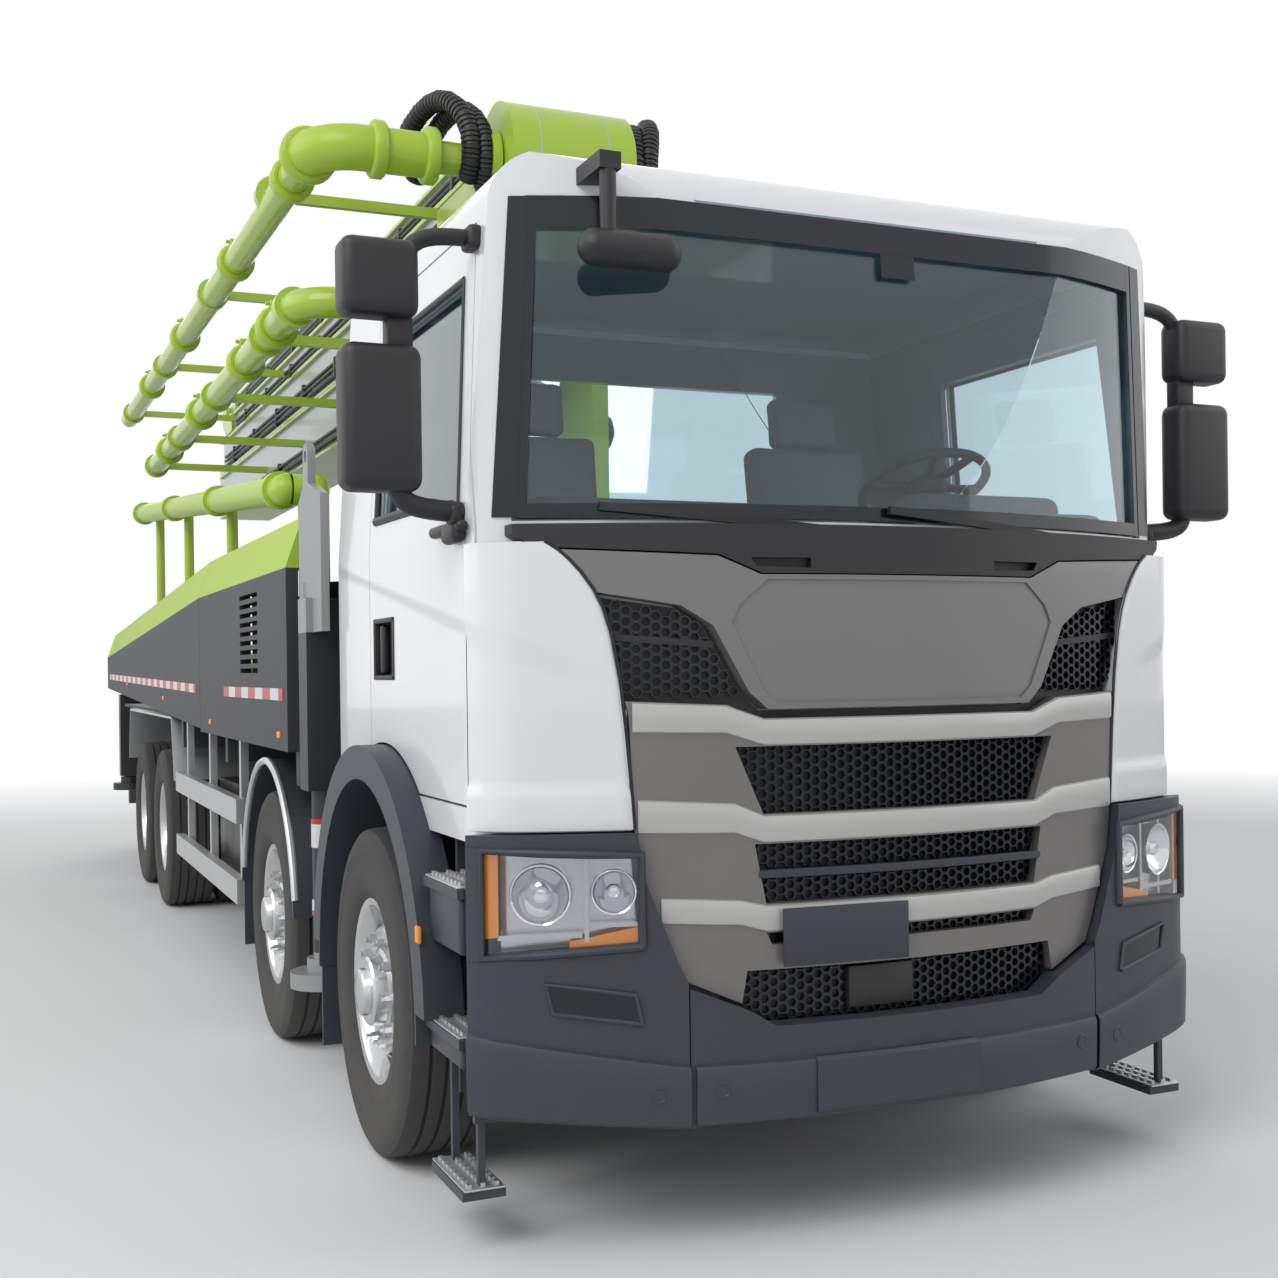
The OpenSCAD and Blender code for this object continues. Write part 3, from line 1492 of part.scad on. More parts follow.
rear_outrigger(1);  // rear_outrigger_left
rear_outrigger(-1);  // rear_outrigger_right
jack(front_leg_x, front_leg_y, front_foot_z,  // front_jack_left
    leg_top_front - 40);
jack(-front_leg_x, front_leg_y, front_foot_z,  // front_jack_right
    leg_top_front - 40);
jack(rear_leg_x, rear_arm_y[1], rear_foot_z,  // rear_jack_left
    leg_top_rear - 40);
jack(-rear_leg_x, rear_arm_y[0], rear_foot_z,  // rear_jack_right
    leg_top_rear - 40);
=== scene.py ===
"""Looks of a concrete pump truck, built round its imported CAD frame.

Sizes and places are in metres: x to the truck's left, -y ahead, z up. Shares run from 0 to 1.
"""

import logging
import math
from dataclasses import dataclass
from enum import Enum
from typing import Callable, Iterable, Optional, Sequence

import bpy
from mathutils import Matrix, Vector


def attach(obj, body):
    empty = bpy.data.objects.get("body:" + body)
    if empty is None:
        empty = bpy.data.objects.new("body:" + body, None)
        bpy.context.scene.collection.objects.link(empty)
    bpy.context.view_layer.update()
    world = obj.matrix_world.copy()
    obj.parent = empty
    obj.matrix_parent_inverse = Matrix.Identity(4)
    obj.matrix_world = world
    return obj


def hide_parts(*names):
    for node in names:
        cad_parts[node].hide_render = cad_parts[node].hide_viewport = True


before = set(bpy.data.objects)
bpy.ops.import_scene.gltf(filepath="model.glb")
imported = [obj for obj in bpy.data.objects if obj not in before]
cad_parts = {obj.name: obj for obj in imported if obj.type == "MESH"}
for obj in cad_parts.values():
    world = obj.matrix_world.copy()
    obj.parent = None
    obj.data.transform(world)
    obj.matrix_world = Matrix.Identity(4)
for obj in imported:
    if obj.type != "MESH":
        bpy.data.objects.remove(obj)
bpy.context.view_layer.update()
LOG = logging.getLogger("pump_truck")
Point = tuple[float, float, float]
Colour = tuple[float, float, float]

# Places and sizes that the sub-assemblies share
AXLE_Y = (-4.730, -2.856, 1.562, 2.932)
AXLE_Z = 0.530
CAB_NOSE_Y = -6.020
CAB_BACK_Y = -4.050
FRONT_NOSE_Y = -6.090
BUMPER_NOSE_Y = -6.130
NOSE_R = 2.600
CAB_HW = 1.165
CAB_LEAN = 0.0636
BELT_Z = 1.960
FRONT_FOLD_Y = -3.180
FRONT_FOLD_Z = 3.780
PIVOT_Z = 3.210
PIPE_X = 1.050
FRONT_HALF = 1.180
FRONT_CORNER = 0.200
WEB_X = (0.205, 0.185, 0.155, 0.125)
SIDES = (("left", 1.0), ("right", -1.0))

# Limits of the masks
WEB_SKIN = 0.003
COVER_KINK_Y = -0.670
COVER_SLOPE = 0.0384
COVER_BAND_Z = 1.990
# CAB_WALL, SCREEN_WALL and BACK_WALL bound the cab's inside, which takes painted shade.
CAB_WALL = 0.022
SCREEN_WALL = 0.030
BACK_WALL = 0.020
LEG_PLATE_X = 1.180
LEG_PLATE_Z = 1.720
JACK_FOOT_Z = 0.500
# DOWNWARD: faces whose normal leans further down take the roof's painted shade.
DOWNWARD = -0.2
CREASE_Y = -5.871
CREASE_Z = 1.655
CREASE_SLOPE = 0.155
CREASE_SOFT = 0.030
CREASE_DEPTH = 0.010

# Dust, grain and gloss
DUST_TOP_Z = 1.250
CLOUD_SCALE = 2.2
CLOUD_SHARE = 0.8
SPECK_SCALE = 38.0
DUST_COVER = 0.75
DUST_ROUGHNESS = 0.5
COAT_ROUGHNESS = 0.04
GRAIN_DEPTH = 0.002
BROAD_SCALE = 0.04

# Colours
DUST_RGB: Colour = (0.40, 0.36, 0.31)
LIME_RGB: Colour = (0.40, 0.56, 0.045)
BOOM_GREY_RGB: Colour = (0.46, 0.48, 0.49)
WHITE_RGB: Colour = (0.80, 0.81, 0.82)
CHARCOAL_RGB: Colour = (0.032, 0.039, 0.051)
LEG_RGB: Colour = (0.020, 0.021, 0.024)
STRIP_RGB: Colour = (0.66, 0.67, 0.68)
STRIP_RED_RGB: Colour = (0.52, 0.02, 0.02)


class Graph:
    """Short calls for building one node tree."""

    def __init__(self, tree: bpy.types.NodeTree) -> None:
        """Keeps the tree.

        Args:
            tree: The node tree that the calls add to.
        """
        self.tree = tree

    def node(self, kind: str, **values: object) -> bpy.types.Node:
        """Adds a node.

        Args:
            kind: The node's type name without its ShaderNode prefix.
            values: Properties to set on it.

        Returns:
            The new node.
        """
        made = self.tree.nodes.new("ShaderNode" + kind)
        for key, value in values.items():
            setattr(made, key, value)
        return made

    def link(self, value: object, socket: bpy.types.NodeSocket) -> None:
        """Links an output to a socket, or sets the socket to a plain value.

        Args:
            value: An output socket or a plain value.
            socket: The input socket.
        """
        if isinstance(value, bpy.types.NodeSocket):
            self.tree.links.new(value, socket)
        elif socket.type == "RGBA" and len(value) == 3:
            socket.default_value = (*value, 1.0)
        else:
            socket.default_value = value

    def math(self, operation: str, *values: object) -> bpy.types.NodeSocket:
        """Adds a Math node.

        Args:
            operation: The node's operation.
            values: Its inputs in order.

        Returns:
            Its output.
        """
        made = self.node("Math", operation=operation)
        for value, socket in zip(values, made.inputs):
            self.link(value, socket)
        return made.outputs[0]

    def within(self, value: object, low: float, high: float) -> bpy.types.NodeSocket:
        """Gives 1 where a value lies between two limits.

        Args:
            value: The tested output.
            low: The lower limit.
            high: The upper limit.

        Returns:
            The mask.
        """
        above = self.math("GREATER_THAN", value, low)
        below = self.math("LESS_THAN", value, high)
        return self.math("MULTIPLY", above, below)

    def mix(self, share: object, low: object, high: object) -> bpy.types.NodeSocket:
        """Mixes two colours.

        Args:
            share: The mask or share of the second colour.
            low: The first colour.
            high: The second colour.

        Returns:
            The mixed colour.
        """
        made = self.node("Mix", data_type="RGBA")
        self.link(share, made.inputs[0])
        self.link(low, made.inputs[6])
        self.link(high, made.inputs[7])
        return made.outputs[2]

    def blend(self, share: object, low: float, high: float) -> bpy.types.NodeSocket:
        """Runs from one number to another as a mask runs from 0 to 1.

        Args:
            share: The mask.
            low: The value at 0.
            high: The value at 1.

        Returns:
            The mixed number.
        """
        return self.math("MULTIPLY_ADD", share, high - low, low)

    def place(self) -> tuple[bpy.types.NodeSocket, bpy.types.NodeSocket, bpy.types.NodeSocket]:
        """Gives the Object coordinates as three numbers.

        Returns:
            The x, y and z outputs.
        """
        apart = self.node("SeparateXYZ")
        self.link(self.node("TexCoord").outputs["Object"], apart.inputs[0])
        return apart.outputs[0], apart.outputs[1], apart.outputs[2]


def new_group(name: str, inputs: Sequence[tuple[str, str, object]],
              outputs: Sequence[tuple[str, str]]) -> Graph:
    """Starts a shader node group with named sockets.

    Args:
        name: The group's name.
        inputs: Name, socket type and first value of each input.
        outputs: Name and socket type of each output.

    Returns:
        A graph on the group's tree, with its input and output nodes placed.
    """
    tree = bpy.data.node_groups.new(name, "ShaderNodeTree")
    for label, kind, value in inputs:
        socket = tree.interface.new_socket(label, in_out="INPUT", socket_type="NodeSocket" + kind)
        socket.default_value = (*value, 1.0) if kind == "Color" else value
    for label, kind in outputs:
        tree.interface.new_socket(label, in_out="OUTPUT", socket_type="NodeSocket" + kind)
    tree.nodes.new("NodeGroupInput").name = "in"
    tree.nodes.new("NodeGroupOutput").name = "out"
    return Graph(tree)


def noise(graph: Graph, scale: object, detail: float) -> bpy.types.NodeSocket:
    """Adds a noise on Object coordinates.

    Args:
        graph: Where the nodes go.
        scale: Noise cells a metre.
        detail: Octaves of the noise.

    Returns:
        The noise value.
    """
    made = graph.node("TexNoise")
    graph.link(graph.node("TexCoord").outputs["Object"], made.inputs["Vector"])
    graph.link(scale, made.inputs["Scale"])
    made.inputs["Detail"].default_value = detail
    return made.outputs["Fac"]


def weather_group() -> bpy.types.NodeTree:
    """Builds the shared road dust: cloudy colour change, and dust that thickens towards the ground.

    Returns:
        The group's tree.
    """
    graph = new_group(
        "weather",
        [("Color", "Color", (0.5, 0.5, 0.5)), ("Dust", "Float", 0.2), ("Variation", "Float", 0.05)],
        [("Color", "Color"), ("Dust", "Float")],
    )
    source = graph.tree.nodes["in"].outputs
    cloud = noise(graph, CLOUD_SCALE, 4.0)
    fine = noise(graph, SPECK_SCALE, 3.0)
    height = graph.place()[2]
    low = graph.math("SUBTRACT", 1.0, graph.math("DIVIDE", height, DUST_TOP_Z))
    low.node.use_clamp = True
    speck = graph.math("MULTIPLY", low, graph.math("ADD", graph.math("MULTIPLY", cloud, CLOUD_SHARE), fine))
    dust = graph.math("MULTIPLY", graph.math("MULTIPLY", speck, source["Dust"]), DUST_COVER)
    dust.node.use_clamp = True
    shade = graph.math("MULTIPLY", graph.math("SUBTRACT", cloud, 0.5), source["Variation"])
    tone = graph.node("HueSaturation")
    graph.link(source["Color"], tone.inputs["Color"])
    graph.link(graph.math("ADD", shade, 1.0), tone.inputs["Value"])
    graph.link(graph.mix(dust, tone.outputs[0], DUST_RGB), graph.tree.nodes["out"].inputs["Color"])
    graph.link(dust, graph.tree.nodes["out"].inputs["Dust"])
    return graph.tree


def grain_group() -> bpy.types.NodeTree:
    """Builds the shared surface grain, a fine noise over a broad one.

    Returns:
        The group's tree.
    """
    graph = new_group(
        "grain",
        [("Scale", "Float", 300.0), ("Broad", "Float", 0.3)],
        [("Height", "Float")],
    )
    source = graph.tree.nodes["in"].outputs
    broad = noise(graph, graph.math("MULTIPLY", source["Scale"], BROAD_SCALE), 2.0)
    height = graph.math("MULTIPLY_ADD", broad, source["Broad"], noise(graph, source["Scale"], 2.0))
    graph.link(height, graph.tree.nodes["out"].inputs["Height"])
    return graph.tree


GROUPS: dict[str, bpy.types.NodeTree] = {"weather": weather_group(), "grain": grain_group()}
MATERIALS: dict[str, bpy.types.Material] = {}
Mask = Callable[[Graph], bpy.types.NodeSocket]


@dataclass(frozen=True)
class Finish:
    """A surface finish: a base colour, its gloss, its dust and its grain.

    A second colour, roughness and metallic hold where the mask is 1.
    """

    name: str
    colour: Colour
    roughness: float = 0.4
    metallic: float = 0.0
    coat: float = 0.0
    dust: float = 0.25
    variation: float = 0.08
    grain: float = 0.0
    grain_scale: float = 300.0
    mask: Optional[Mask] = None
    crease: Optional[Mask] = None
    second: Colour = (0.0, 0.0, 0.0)
    second_roughness: float = 0.5
    second_metallic: float = 0.0
    transmission: float = 0.0
    glow: float = 0.0

    def make(self) -> bpy.types.Material:
        """Builds the finish's material once.

        Returns:
            The material.
        """
        if self.name in MATERIALS:
            return MATERIALS[self.name]
        made = bpy.data.materials.new(self.name + "_finish")
        MATERIALS[self.name] = made
        made.use_nodes = True
        graph = Graph(made.node_tree)
        shader = made.node_tree.nodes["Principled BSDF"]
        weather = graph.node("Group", node_tree=GROUPS["weather"])
        weather.inputs["Dust"].default_value = self.dust
        weather.inputs["Variation"].default_value = self.variation
        rough: object = self.roughness
        if self.mask:
            share = self.mask(graph)
            graph.link(graph.mix(share, self.colour, self.second), weather.inputs["Color"])
            rough = graph.blend(share, self.roughness, self.second_roughness)
            if self.metallic != self.second_metallic:
                metal = graph.blend(share, self.metallic, self.second_metallic)
                graph.link(metal, shader.inputs["Metallic"])
            else:
                shader.inputs["Metallic"].default_value = self.metallic
        else:
            graph.link(self.colour, weather.inputs["Color"])
            shader.inputs["Metallic"].default_value = self.metallic
        graph.link(weather.outputs["Color"], shader.inputs["Base Color"])
        worn = graph.math("ADD", graph.math("MULTIPLY", weather.outputs["Dust"], DUST_ROUGHNESS), rough)
        worn.node.use_clamp = True
        graph.link(worn, shader.inputs["Roughness"])
        shader.inputs["Coat Weight"].default_value = self.coat
        shader.inputs["Coat Roughness"].default_value = COAT_ROUGHNESS
        shader.inputs["Transmission Weight"].default_value = self.transmission
        if self.glow:
            graph.link(self.colour, shader.inputs["Emission Color"])
            shader.inputs["Emission Strength"].default_value = self.glow
        if self.crease:
            bump = graph.node("Bump")
            bump.inputs["Distance"].default_value = CREASE_DEPTH
            graph.link(self.crease(graph), bump.inputs["Height"])
            graph.link(bump.outputs[0], shader.inputs["Normal"])
        elif self.grain:
            grain = graph.node("Group", node_tree=GROUPS["grain"])
            grain.inputs["Scale"].default_value = self.grain_scale
            bump = graph.node("Bump")
            bump.inputs["Strength"].default_value = self.grain
            bump.inputs["Distance"].default_value = GRAIN_DEPTH
            graph.link(grain.outputs["Height"], bump.inputs["Height"])
            graph.link(bump.outputs[0], shader.inputs["Normal"])
        return made


def near_side(half: float) -> Mask:
    """Masks the upright webs of a boom section.

    Args:
        half: Distance of the web's face from the middle.

    Returns:
        The mask's builder.
    """
    return lambda graph: graph.within(
        graph.math("ABSOLUTE", graph.place()[0]), half - WEB_SKIN, half + WEB_SKIN
    )


def cover_band(graph: Graph) -> bpy.types.NodeSocket:
    """Masks the leaning upper band of the side covers, which drops towards the rear.

    Args:
        graph: Where the nodes go.

    Returns:
        The mask.
    """
    _, y, z = graph.place()
    behind = graph.math("MAXIMUM", graph.math("SUBTRACT", y, COVER_KINK_Y), 0.0)
    drop = graph.math("MULTIPLY", behind, COVER_SLOPE)
    return graph.math("GREATER_THAN", graph.math("ADD", z, drop), COVER_BAND_Z)


def cab_inside_painted_shade(graph: Graph) -> bpy.types.NodeSocket:
    """Masks what faces the room inside the cab's walls, which takes dark trim colour with painted shade and a
    painted blue cast.

    Args:
        graph: Where the nodes go.

    Returns:
        The mask.
    """
    x, y, z = graph.place()
    rise = graph.math("MAXIMUM", graph.math("SUBTRACT", z, BELT_Z), 0.0)
    lean = graph.math("MULTIPLY", rise, CAB_LEAN)
    side = graph.math("LESS_THAN", graph.math("ADD", graph.math("ABSOLUTE", x), lean), CAB_HW - CAB_WALL)
    root = graph.math("SQRT", graph.math("SUBTRACT", NOSE_R * NOSE_R, graph.math("MULTIPLY", x, x)))
    behind = graph.math("GREATER_THAN", graph.math("ADD", y, root), CAB_NOSE_Y + NOSE_R + SCREEN_WALL)
    ahead = graph.math("LESS_THAN", y, CAB_BACK_Y - BACK_WALL)
    return graph.math("MULTIPLY", graph.math("MULTIPLY", side, behind), ahead)


def underside_painted_shade(graph: Graph) -> bpy.types.NodeSocket:
    """Masks faces that look down, which take painted shade.

    Args:
        graph: Where the nodes go.

    Returns:
        The mask.
    """
    apart = graph.node("SeparateXYZ")
    graph.link(graph.node("NewGeometry").outputs["Normal"], apart.inputs[0])
    return graph.math("LESS_THAN", apart.outputs[2], DOWNWARD)


def plate_face(graph: Graph) -> bpy.types.NodeSocket:
    """Masks the upper plate of the front outriggers.

    Args:
        graph: Where the nodes go.

    Returns:
        The mask.
    """
    x, _, z = graph.place()
    above = graph.math("GREATER_THAN", z, LEG_PLATE_Z)
    outside = graph.math("GREATER_THAN", graph.math("ABSOLUTE", x), LEG_PLATE_X)
    return graph.math("MULTIPLY", above, outside)


def jack_feet(graph: Graph) -> bpy.types.NodeSocket:
    """Masks the pale feet of the jacks.

    Args:
        graph: Where the nodes go.

    Returns:
        The mask.
    """
    return graph.math("LESS_THAN", graph.place()[2], JACK_FOOT_Z)


def chevrons(pitch: float, axis: int) -> Mask:
    """Masks every second band of a reflective strip.

    Args:
        pitch: Length of a red and white pair.
        axis: Axis that the bands follow.

    Returns:
        The mask's builder.
    """
    return lambda graph: graph.math(
        "GREATER_THAN", graph.math("FRACT", graph.math("DIVIDE", graph.place()[axis], pitch)), 0.5
    )


def door_crease(graph: Graph) -> bpy.types.NodeSocket:
    """Raises the cab's side above the crease that falls towards the front.

    Args:
        graph: Where the nodes go.

    Returns:
        The height.
    """
    _, y, z = graph.place()
    line = graph.math("MULTIPLY_ADD", y, -CREASE_SLOPE, CREASE_SLOPE * CREASE_Y - CREASE_Z)
    rise = graph.node("MapRange", interpolation_type="SMOOTHERSTEP")
    rise.inputs["From Min"].default_value = -CREASE_SOFT
    rise.inputs["From Max"].default_value = CREASE_SOFT
    graph.link(graph.math("ADD", z, line), rise.inputs["Value"])
    return rise.outputs[0]


def boom_finish(number: int) -> Finish:
    """Gives a boom section's finish: lime with grey webs.

    Args:
        number: The section's number, from 1.

    Returns:
        The finish.
    """
    return Finish(f"boom_{number}_paint", LIME_RGB, 0.3, coat=0.3, variation=0.1,
                  mask=near_side(WEB_X[number - 1]), second=BOOM_GREY_RGB, second_roughness=0.34)


def strip_finish(name: str, pitch: float, axis: int) -> Finish:
    """Gives a reflective strip's finish: white with red bands.

    Args:
        name: The finish's name.
        pitch: Length of a red and white pair.
        axis: Axis that the bands follow.

    Returns:
        The finish.
    """
    return Finish(name, STRIP_RGB, 0.32, dust=0.15, mask=chevrons(pitch, axis), second=STRIP_RED_RGB,
                  second_roughness=0.32)


class Paint(Enum):
    """The truck's finishes."""

    CAB = Finish("cab_white", WHITE_RGB, 0.24, coat=0.6, dust=0.05, variation=0.02)
    # The shell's inside: dark trim colour with painted shade and a painted blue cast of the tinted glass.
    SHELL = Finish("shell_white", WHITE_RGB, 0.24, coat=0.6, dust=0.05, variation=0.02, mask=cab_inside_painted_shade,
                   second=(0.25, 0.315, 0.35), second_roughness=0.8, crease=door_crease)
    # Faces of the roof that look down, the headliner with them, take a painted shade of blue-grey.
    ROOF = Finish("roof_white", WHITE_RGB, 0.24, coat=0.6, dust=0.0, variation=0.02, mask=underside_painted_shade,
                  second=(0.36, 0.44, 0.48), second_roughness=0.85)
    HOOD = Finish("hood_taupe", (0.196, 0.192, 0.190), 0.36, 0.3, coat=0.3, dust=0.0, grain=0.02)
    BAR_BACK = Finish("bar_taupe", (0.195, 0.185, 0.177), 0.38, 0.3, coat=0.2, dust=0.0, grain=0.02)
    BARS = Finish("bar_champagne", (0.50, 0.495, 0.475), 0.34, 0.3, coat=0.3, dust=0.0, grain=0.02)
    BLACK = Finish("black_plastic", (0.016, 0.016, 0.018), 0.46, dust=0.05, grain=0.15, grain_scale=900.0)
    GLOSS_BLACK = Finish("gloss_black", (0.006, 0.009, 0.015), 0.16, dust=0.0)
    CHARCOAL = Finish("charcoal_plastic", CHARCOAL_RGB, 0.45, dust=0.04, variation=0.03, grain=0.12,
                      grain_scale=900.0)
    FRAME = Finish("frame_grey", (0.04, 0.042, 0.046), 0.55, 0.2, dust=0.25, grain=0.1)
    ENGINE = Finish("engine_grey", (0.16, 0.165, 0.17), 0.6, 0.4, dust=0.5, grain=0.3, grain_scale=200.0)
    COVER = Finish("cover_grey", (0.030, 0.033, 0.037), 0.55, dust=0.02, mask=cover_band, second=LIME_RGB,
                   second_roughness=0.5)
    LIME = Finish("lime_paint", LIME_RGB, 0.42, coat=0.1, dust=0.05, variation=0.1)
    BOOM_1 = boom_finish(1)
    BOOM_2 = boom_finish(2)
    BOOM_3 = boom_finish(3)
    BOOM_4 = boom_finish(4)
    LEG = Finish("leg_black", LEG_RGB, 0.42, 0.1, coat=0.15, dust=0.1, grain=0.05)
    OUTRIGGER = Finish("outrigger_paint", LEG_RGB, 0.42, 0.1, dust=0.1, mask=plate_face,
                       second=(0.30, 0.305, 0.31), second_roughness=0.45)
    JACK = Finish("jack_paint", (0.030, 0.032, 0.036), 0.4, 0.1, dust=0.0, mask=jack_feet,
                  second=(0.34, 0.345, 0.35), second_roughness=0.45, second_metallic=0.6)
    CHROME = Finish("chrome_rod", (0.72, 0.73, 0.75), 0.08, 1.0, dust=0.05)
    ALLOY = Finish("guard_silver", (0.58, 0.59, 0.60), 0.36, 0.85, dust=0.3, grain=0.06, grain_scale=420.0)
    RIM = Finish("rim_silver", (0.62, 0.63, 0.64), 0.20, 0.95, dust=0.10, grain=0.02)
    RUBBER = Finish("tyre_rubber", (0.030, 0.030, 0.031), 0.78, dust=0.14, variation=0.2, grain=0.35,
                    grain_scale=420.0)
    GLASS = Finish("window_glass", (0.66, 0.78, 0.82), 0.02, dust=0.0, variation=0.0, transmission=1.0)
    LENS = Finish("lamp_lens", (0.96, 0.97, 0.98), 0.02, dust=0.0, variation=0.0, transmission=1.0)
    AMBER = Finish("amber_lens", (0.78, 0.25, 0.010), 0.25, dust=0.0, glow=0.12)
    RED_LENS = Finish("red_lens", (0.50, 0.012, 0.010), 0.16, coat=0.5, dust=0.1)
    TRAY = Finish("lamp_tray", (0.52, 0.53, 0.55), 0.18, 0.9, dust=0.0)
    STRIPE = strip_finish("reflective_strip", 0.40, 1)
    STRIPE_UP = strip_finish("reflective_strip_up", 0.22, 2)
    SEAT = Finish("seat_cloth", (0.26, 0.29, 0.32), 0.85, dust=0.0, variation=0.25, grain=0.5,
                  grain_scale=900.0)
    DASH = Finish("dash_vinyl", (0.085, 0.098, 0.110), 0.6, dust=0.0, grain=0.35, grain_scale=800.0)
    TREAD = Finish("galvanised_tread", (0.55, 0.56, 0.57), 0.42, 0.8, dust=0.1, grain=0.2, grain_scale=300.0)


NODE_PAINT: dict[Paint, Sequence[str]] = {
    Paint.FRAME: ("chassis_frame", "front_axles", "drive_axles", "pump_subframe", "knuckle_1_left",
                  "knuckle_1_right", "knuckle_2_left", "knuckle_2_right"),
    Paint.ENGINE: ("engine_block",),
    Paint.CAB: ("corner_panels",),
    Paint.SHELL: ("cab_shell", "door_left", "door_right"),
    Paint.ROOF: ("cab_roof",),
    Paint.HOOD: ("hood_panel",),
    Paint.BAR_BACK: ("grille_bars",),
    Paint.BLACK: ("grille_mesh", "wipers", "front_mirror", "mirror_left", "mirror_right"),
    Paint.CHARCOAL: ("bumper", "cab_steps", "front_fenders"),
    Paint.LENS: ("headlamps",),
    Paint.GLASS: ("cab_glass", "door_glass_left", "door_glass_right"),
    Paint.DASH: ("cab_interior",),
    Paint.COVER: ("side_covers",),
    Paint.ALLOY: ("side_guards", "rear_fenders"),
    Paint.LEG: ("tanks", "hopper_grate", "lift_barrel", "rear_outrigger_left", "rear_outrigger_right"),
    Paint.OUTRIGGER: ("front_outrigger_left", "front_outrigger_right"),
    Paint.LIME: ("hopper", "delivery_line", "turret"),
    Paint.BOOM_1: ("boom_1",),
    Paint.BOOM_2: ("boom_2",),
    Paint.BOOM_3: ("boom_3",),
    Paint.BOOM_4: ("boom_4",),
    Paint.CHROME: ("lift_rod",),
    Paint.JACK: ("front_jack_left", "front_jack_right", "rear_jack_left", "rear_jack_right"),
    Paint.RUBBER: tuple(f"wheel_{n}_{s}" for n in (1, 2, 3, 4) for s in ("left", "right")),
}


def deselect() -> None:
    """Leaves object mode clean, with nothing selected."""
    if bpy.context.object and bpy.context.object.mode != "OBJECT":
        bpy.ops.object.mode_set(mode="OBJECT")
    bpy.ops.object.select_all(action="DESELECT")


def settle(obj: bpy.types.Object) -> bpy.types.Object:
    """Moves a piece's place, turn and scale into its mesh.

    Args:
        obj: The piece.

    Returns:
        The same piece.
    """
    deselect()
    obj.select_set(True)
    bpy.context.view_layer.objects.active = obj
    bpy.ops.object.transform_apply(location=True, rotation=True, scale=True)
    return obj


def modify(obj: bpy.types.Object, kind: str, **values: object) -> bpy.types.Object:
    """Adds a modifier and applies it.

    Args:
        obj: The piece.
        kind: The modifier's type.
        values: Its properties.

    Returns:
        The same piece.
    """
    deselect()
    bpy.context.view_layer.objects.active = obj
    obj.select_set(True)
    made = obj.modifiers.new(kind.lower(), kind)
    for key, value in values.items():
        setattr(made, key, value)
    bpy.ops.object.modifier_apply(modifier=made.name)
    return obj


def block(low: Point, high: Point, bevel: float = 0.004, segments: int = 2) -> bpy.types.Object:
    """Models a block with rounded edges between two corners.

    Args:
        low: The lowest corner.
        high: The highest corner.
        bevel: Radius of its edges.
        segments: Faces across a rounded edge.

    Returns:
        The piece.
    """
    deselect()
    middle = [(a + b) / 2 for a, b in zip(low, high)]
    bpy.ops.mesh.primitive_cube_add(size=1.0, location=middle)
    made = bpy.context.object
    made.scale = [abs(b - a) for a, b in zip(low, high)]
    settle(made)
    return modify(made, "BEVEL", width=bevel, segments=segments) if bevel else made


@dataclass(frozen=True)
class Box:
    """The size of a block: its lowest and highest corner and its rounded edges."""

    low: Point
    high: Point
    bevel: float = 0.004
    segments: int = 2

    def make(self) -> bpy.types.Object:
        """Models the block."""
        return block(self.low, self.high, self.bevel, self.segments)


def lathe(profile: Sequence[tuple[float, float]], steps: int, start: float = 0.0) -> bpy.types.Object:
    """Spins a profile, given as distance along x and radius, round the x axis.

    Args:
        profile: The points in order.
        steps: Faces round the axis.
        start: Angle of the first face's edge, in radians.

    Returns:
        The piece, round the x axis at the origin.
    """
    deselect()
    mesh = bpy.data.meshes.new("profile")
    turn = Matrix.Rotation(start, 3, "X")
    corners = [turn @ Vector((x, 0.0, r)) for x, r in profile]
    mesh.from_pydata(corners, [(i, i + 1) for i in range(len(profile) - 1)], [])
    made = bpy.data.objects.new("profile", mesh)
    bpy.context.collection.objects.link(made)
    bpy.context.view_layer.objects.active = made
    made.select_set(True)
    bpy.ops.object.mode_set(mode="EDIT")
    bpy.ops.mesh.select_all(action="SELECT")
    bpy.ops.mesh.spin(steps=steps, angle=math.tau, center=(0, 0, 0), axis=(1, 0, 0))
    bpy.ops.mesh.select_all(action="SELECT")
    bpy.ops.mesh.remove_doubles(threshold=1e-5)
    bpy.ops.mesh.normals_make_consistent(inside=False)
    bpy.ops.object.mode_set(mode="OBJECT")
    return made


def tube(points: Sequence[Point], radius: float, sides: int = 4, smooth: bool = True) -> bpy.types.Object:
    """Models a round bar or pipe along a route.

    Args:
        points: The route's points.
        radius: The bar's radius.
        sides: Curve steps of a quarter of its section.
        smooth: Whether the route bends smoothly between its points.

    Returns:
        The piece as a mesh.
    """
    deselect()
    curve = bpy.data.curves.new("route", "CURVE")
    curve.dimensions = "3D"
    curve.bevel_depth = radius
    curve.bevel_resolution = sides
    curve.use_fill_caps = True
    curve.resolution_u = 6
    spline = curve.splines.new("NURBS" if smooth else "POLY")
    spline.points.add(len(points) - 1)
    for knot, point in zip(spline.points, points):
        knot.co = (*point, 1.0)
    spline.order_u = min(4, len(points))
    spline.use_endpoint_u = True
    made = bpy.data.objects.new("route", curve)
    bpy.context.collection.objects.link(made)
    bpy.context.view_layer.objects.active = made
    made.select_set(True)
    bpy.ops.object.convert(target="MESH")
    return bpy.context.object


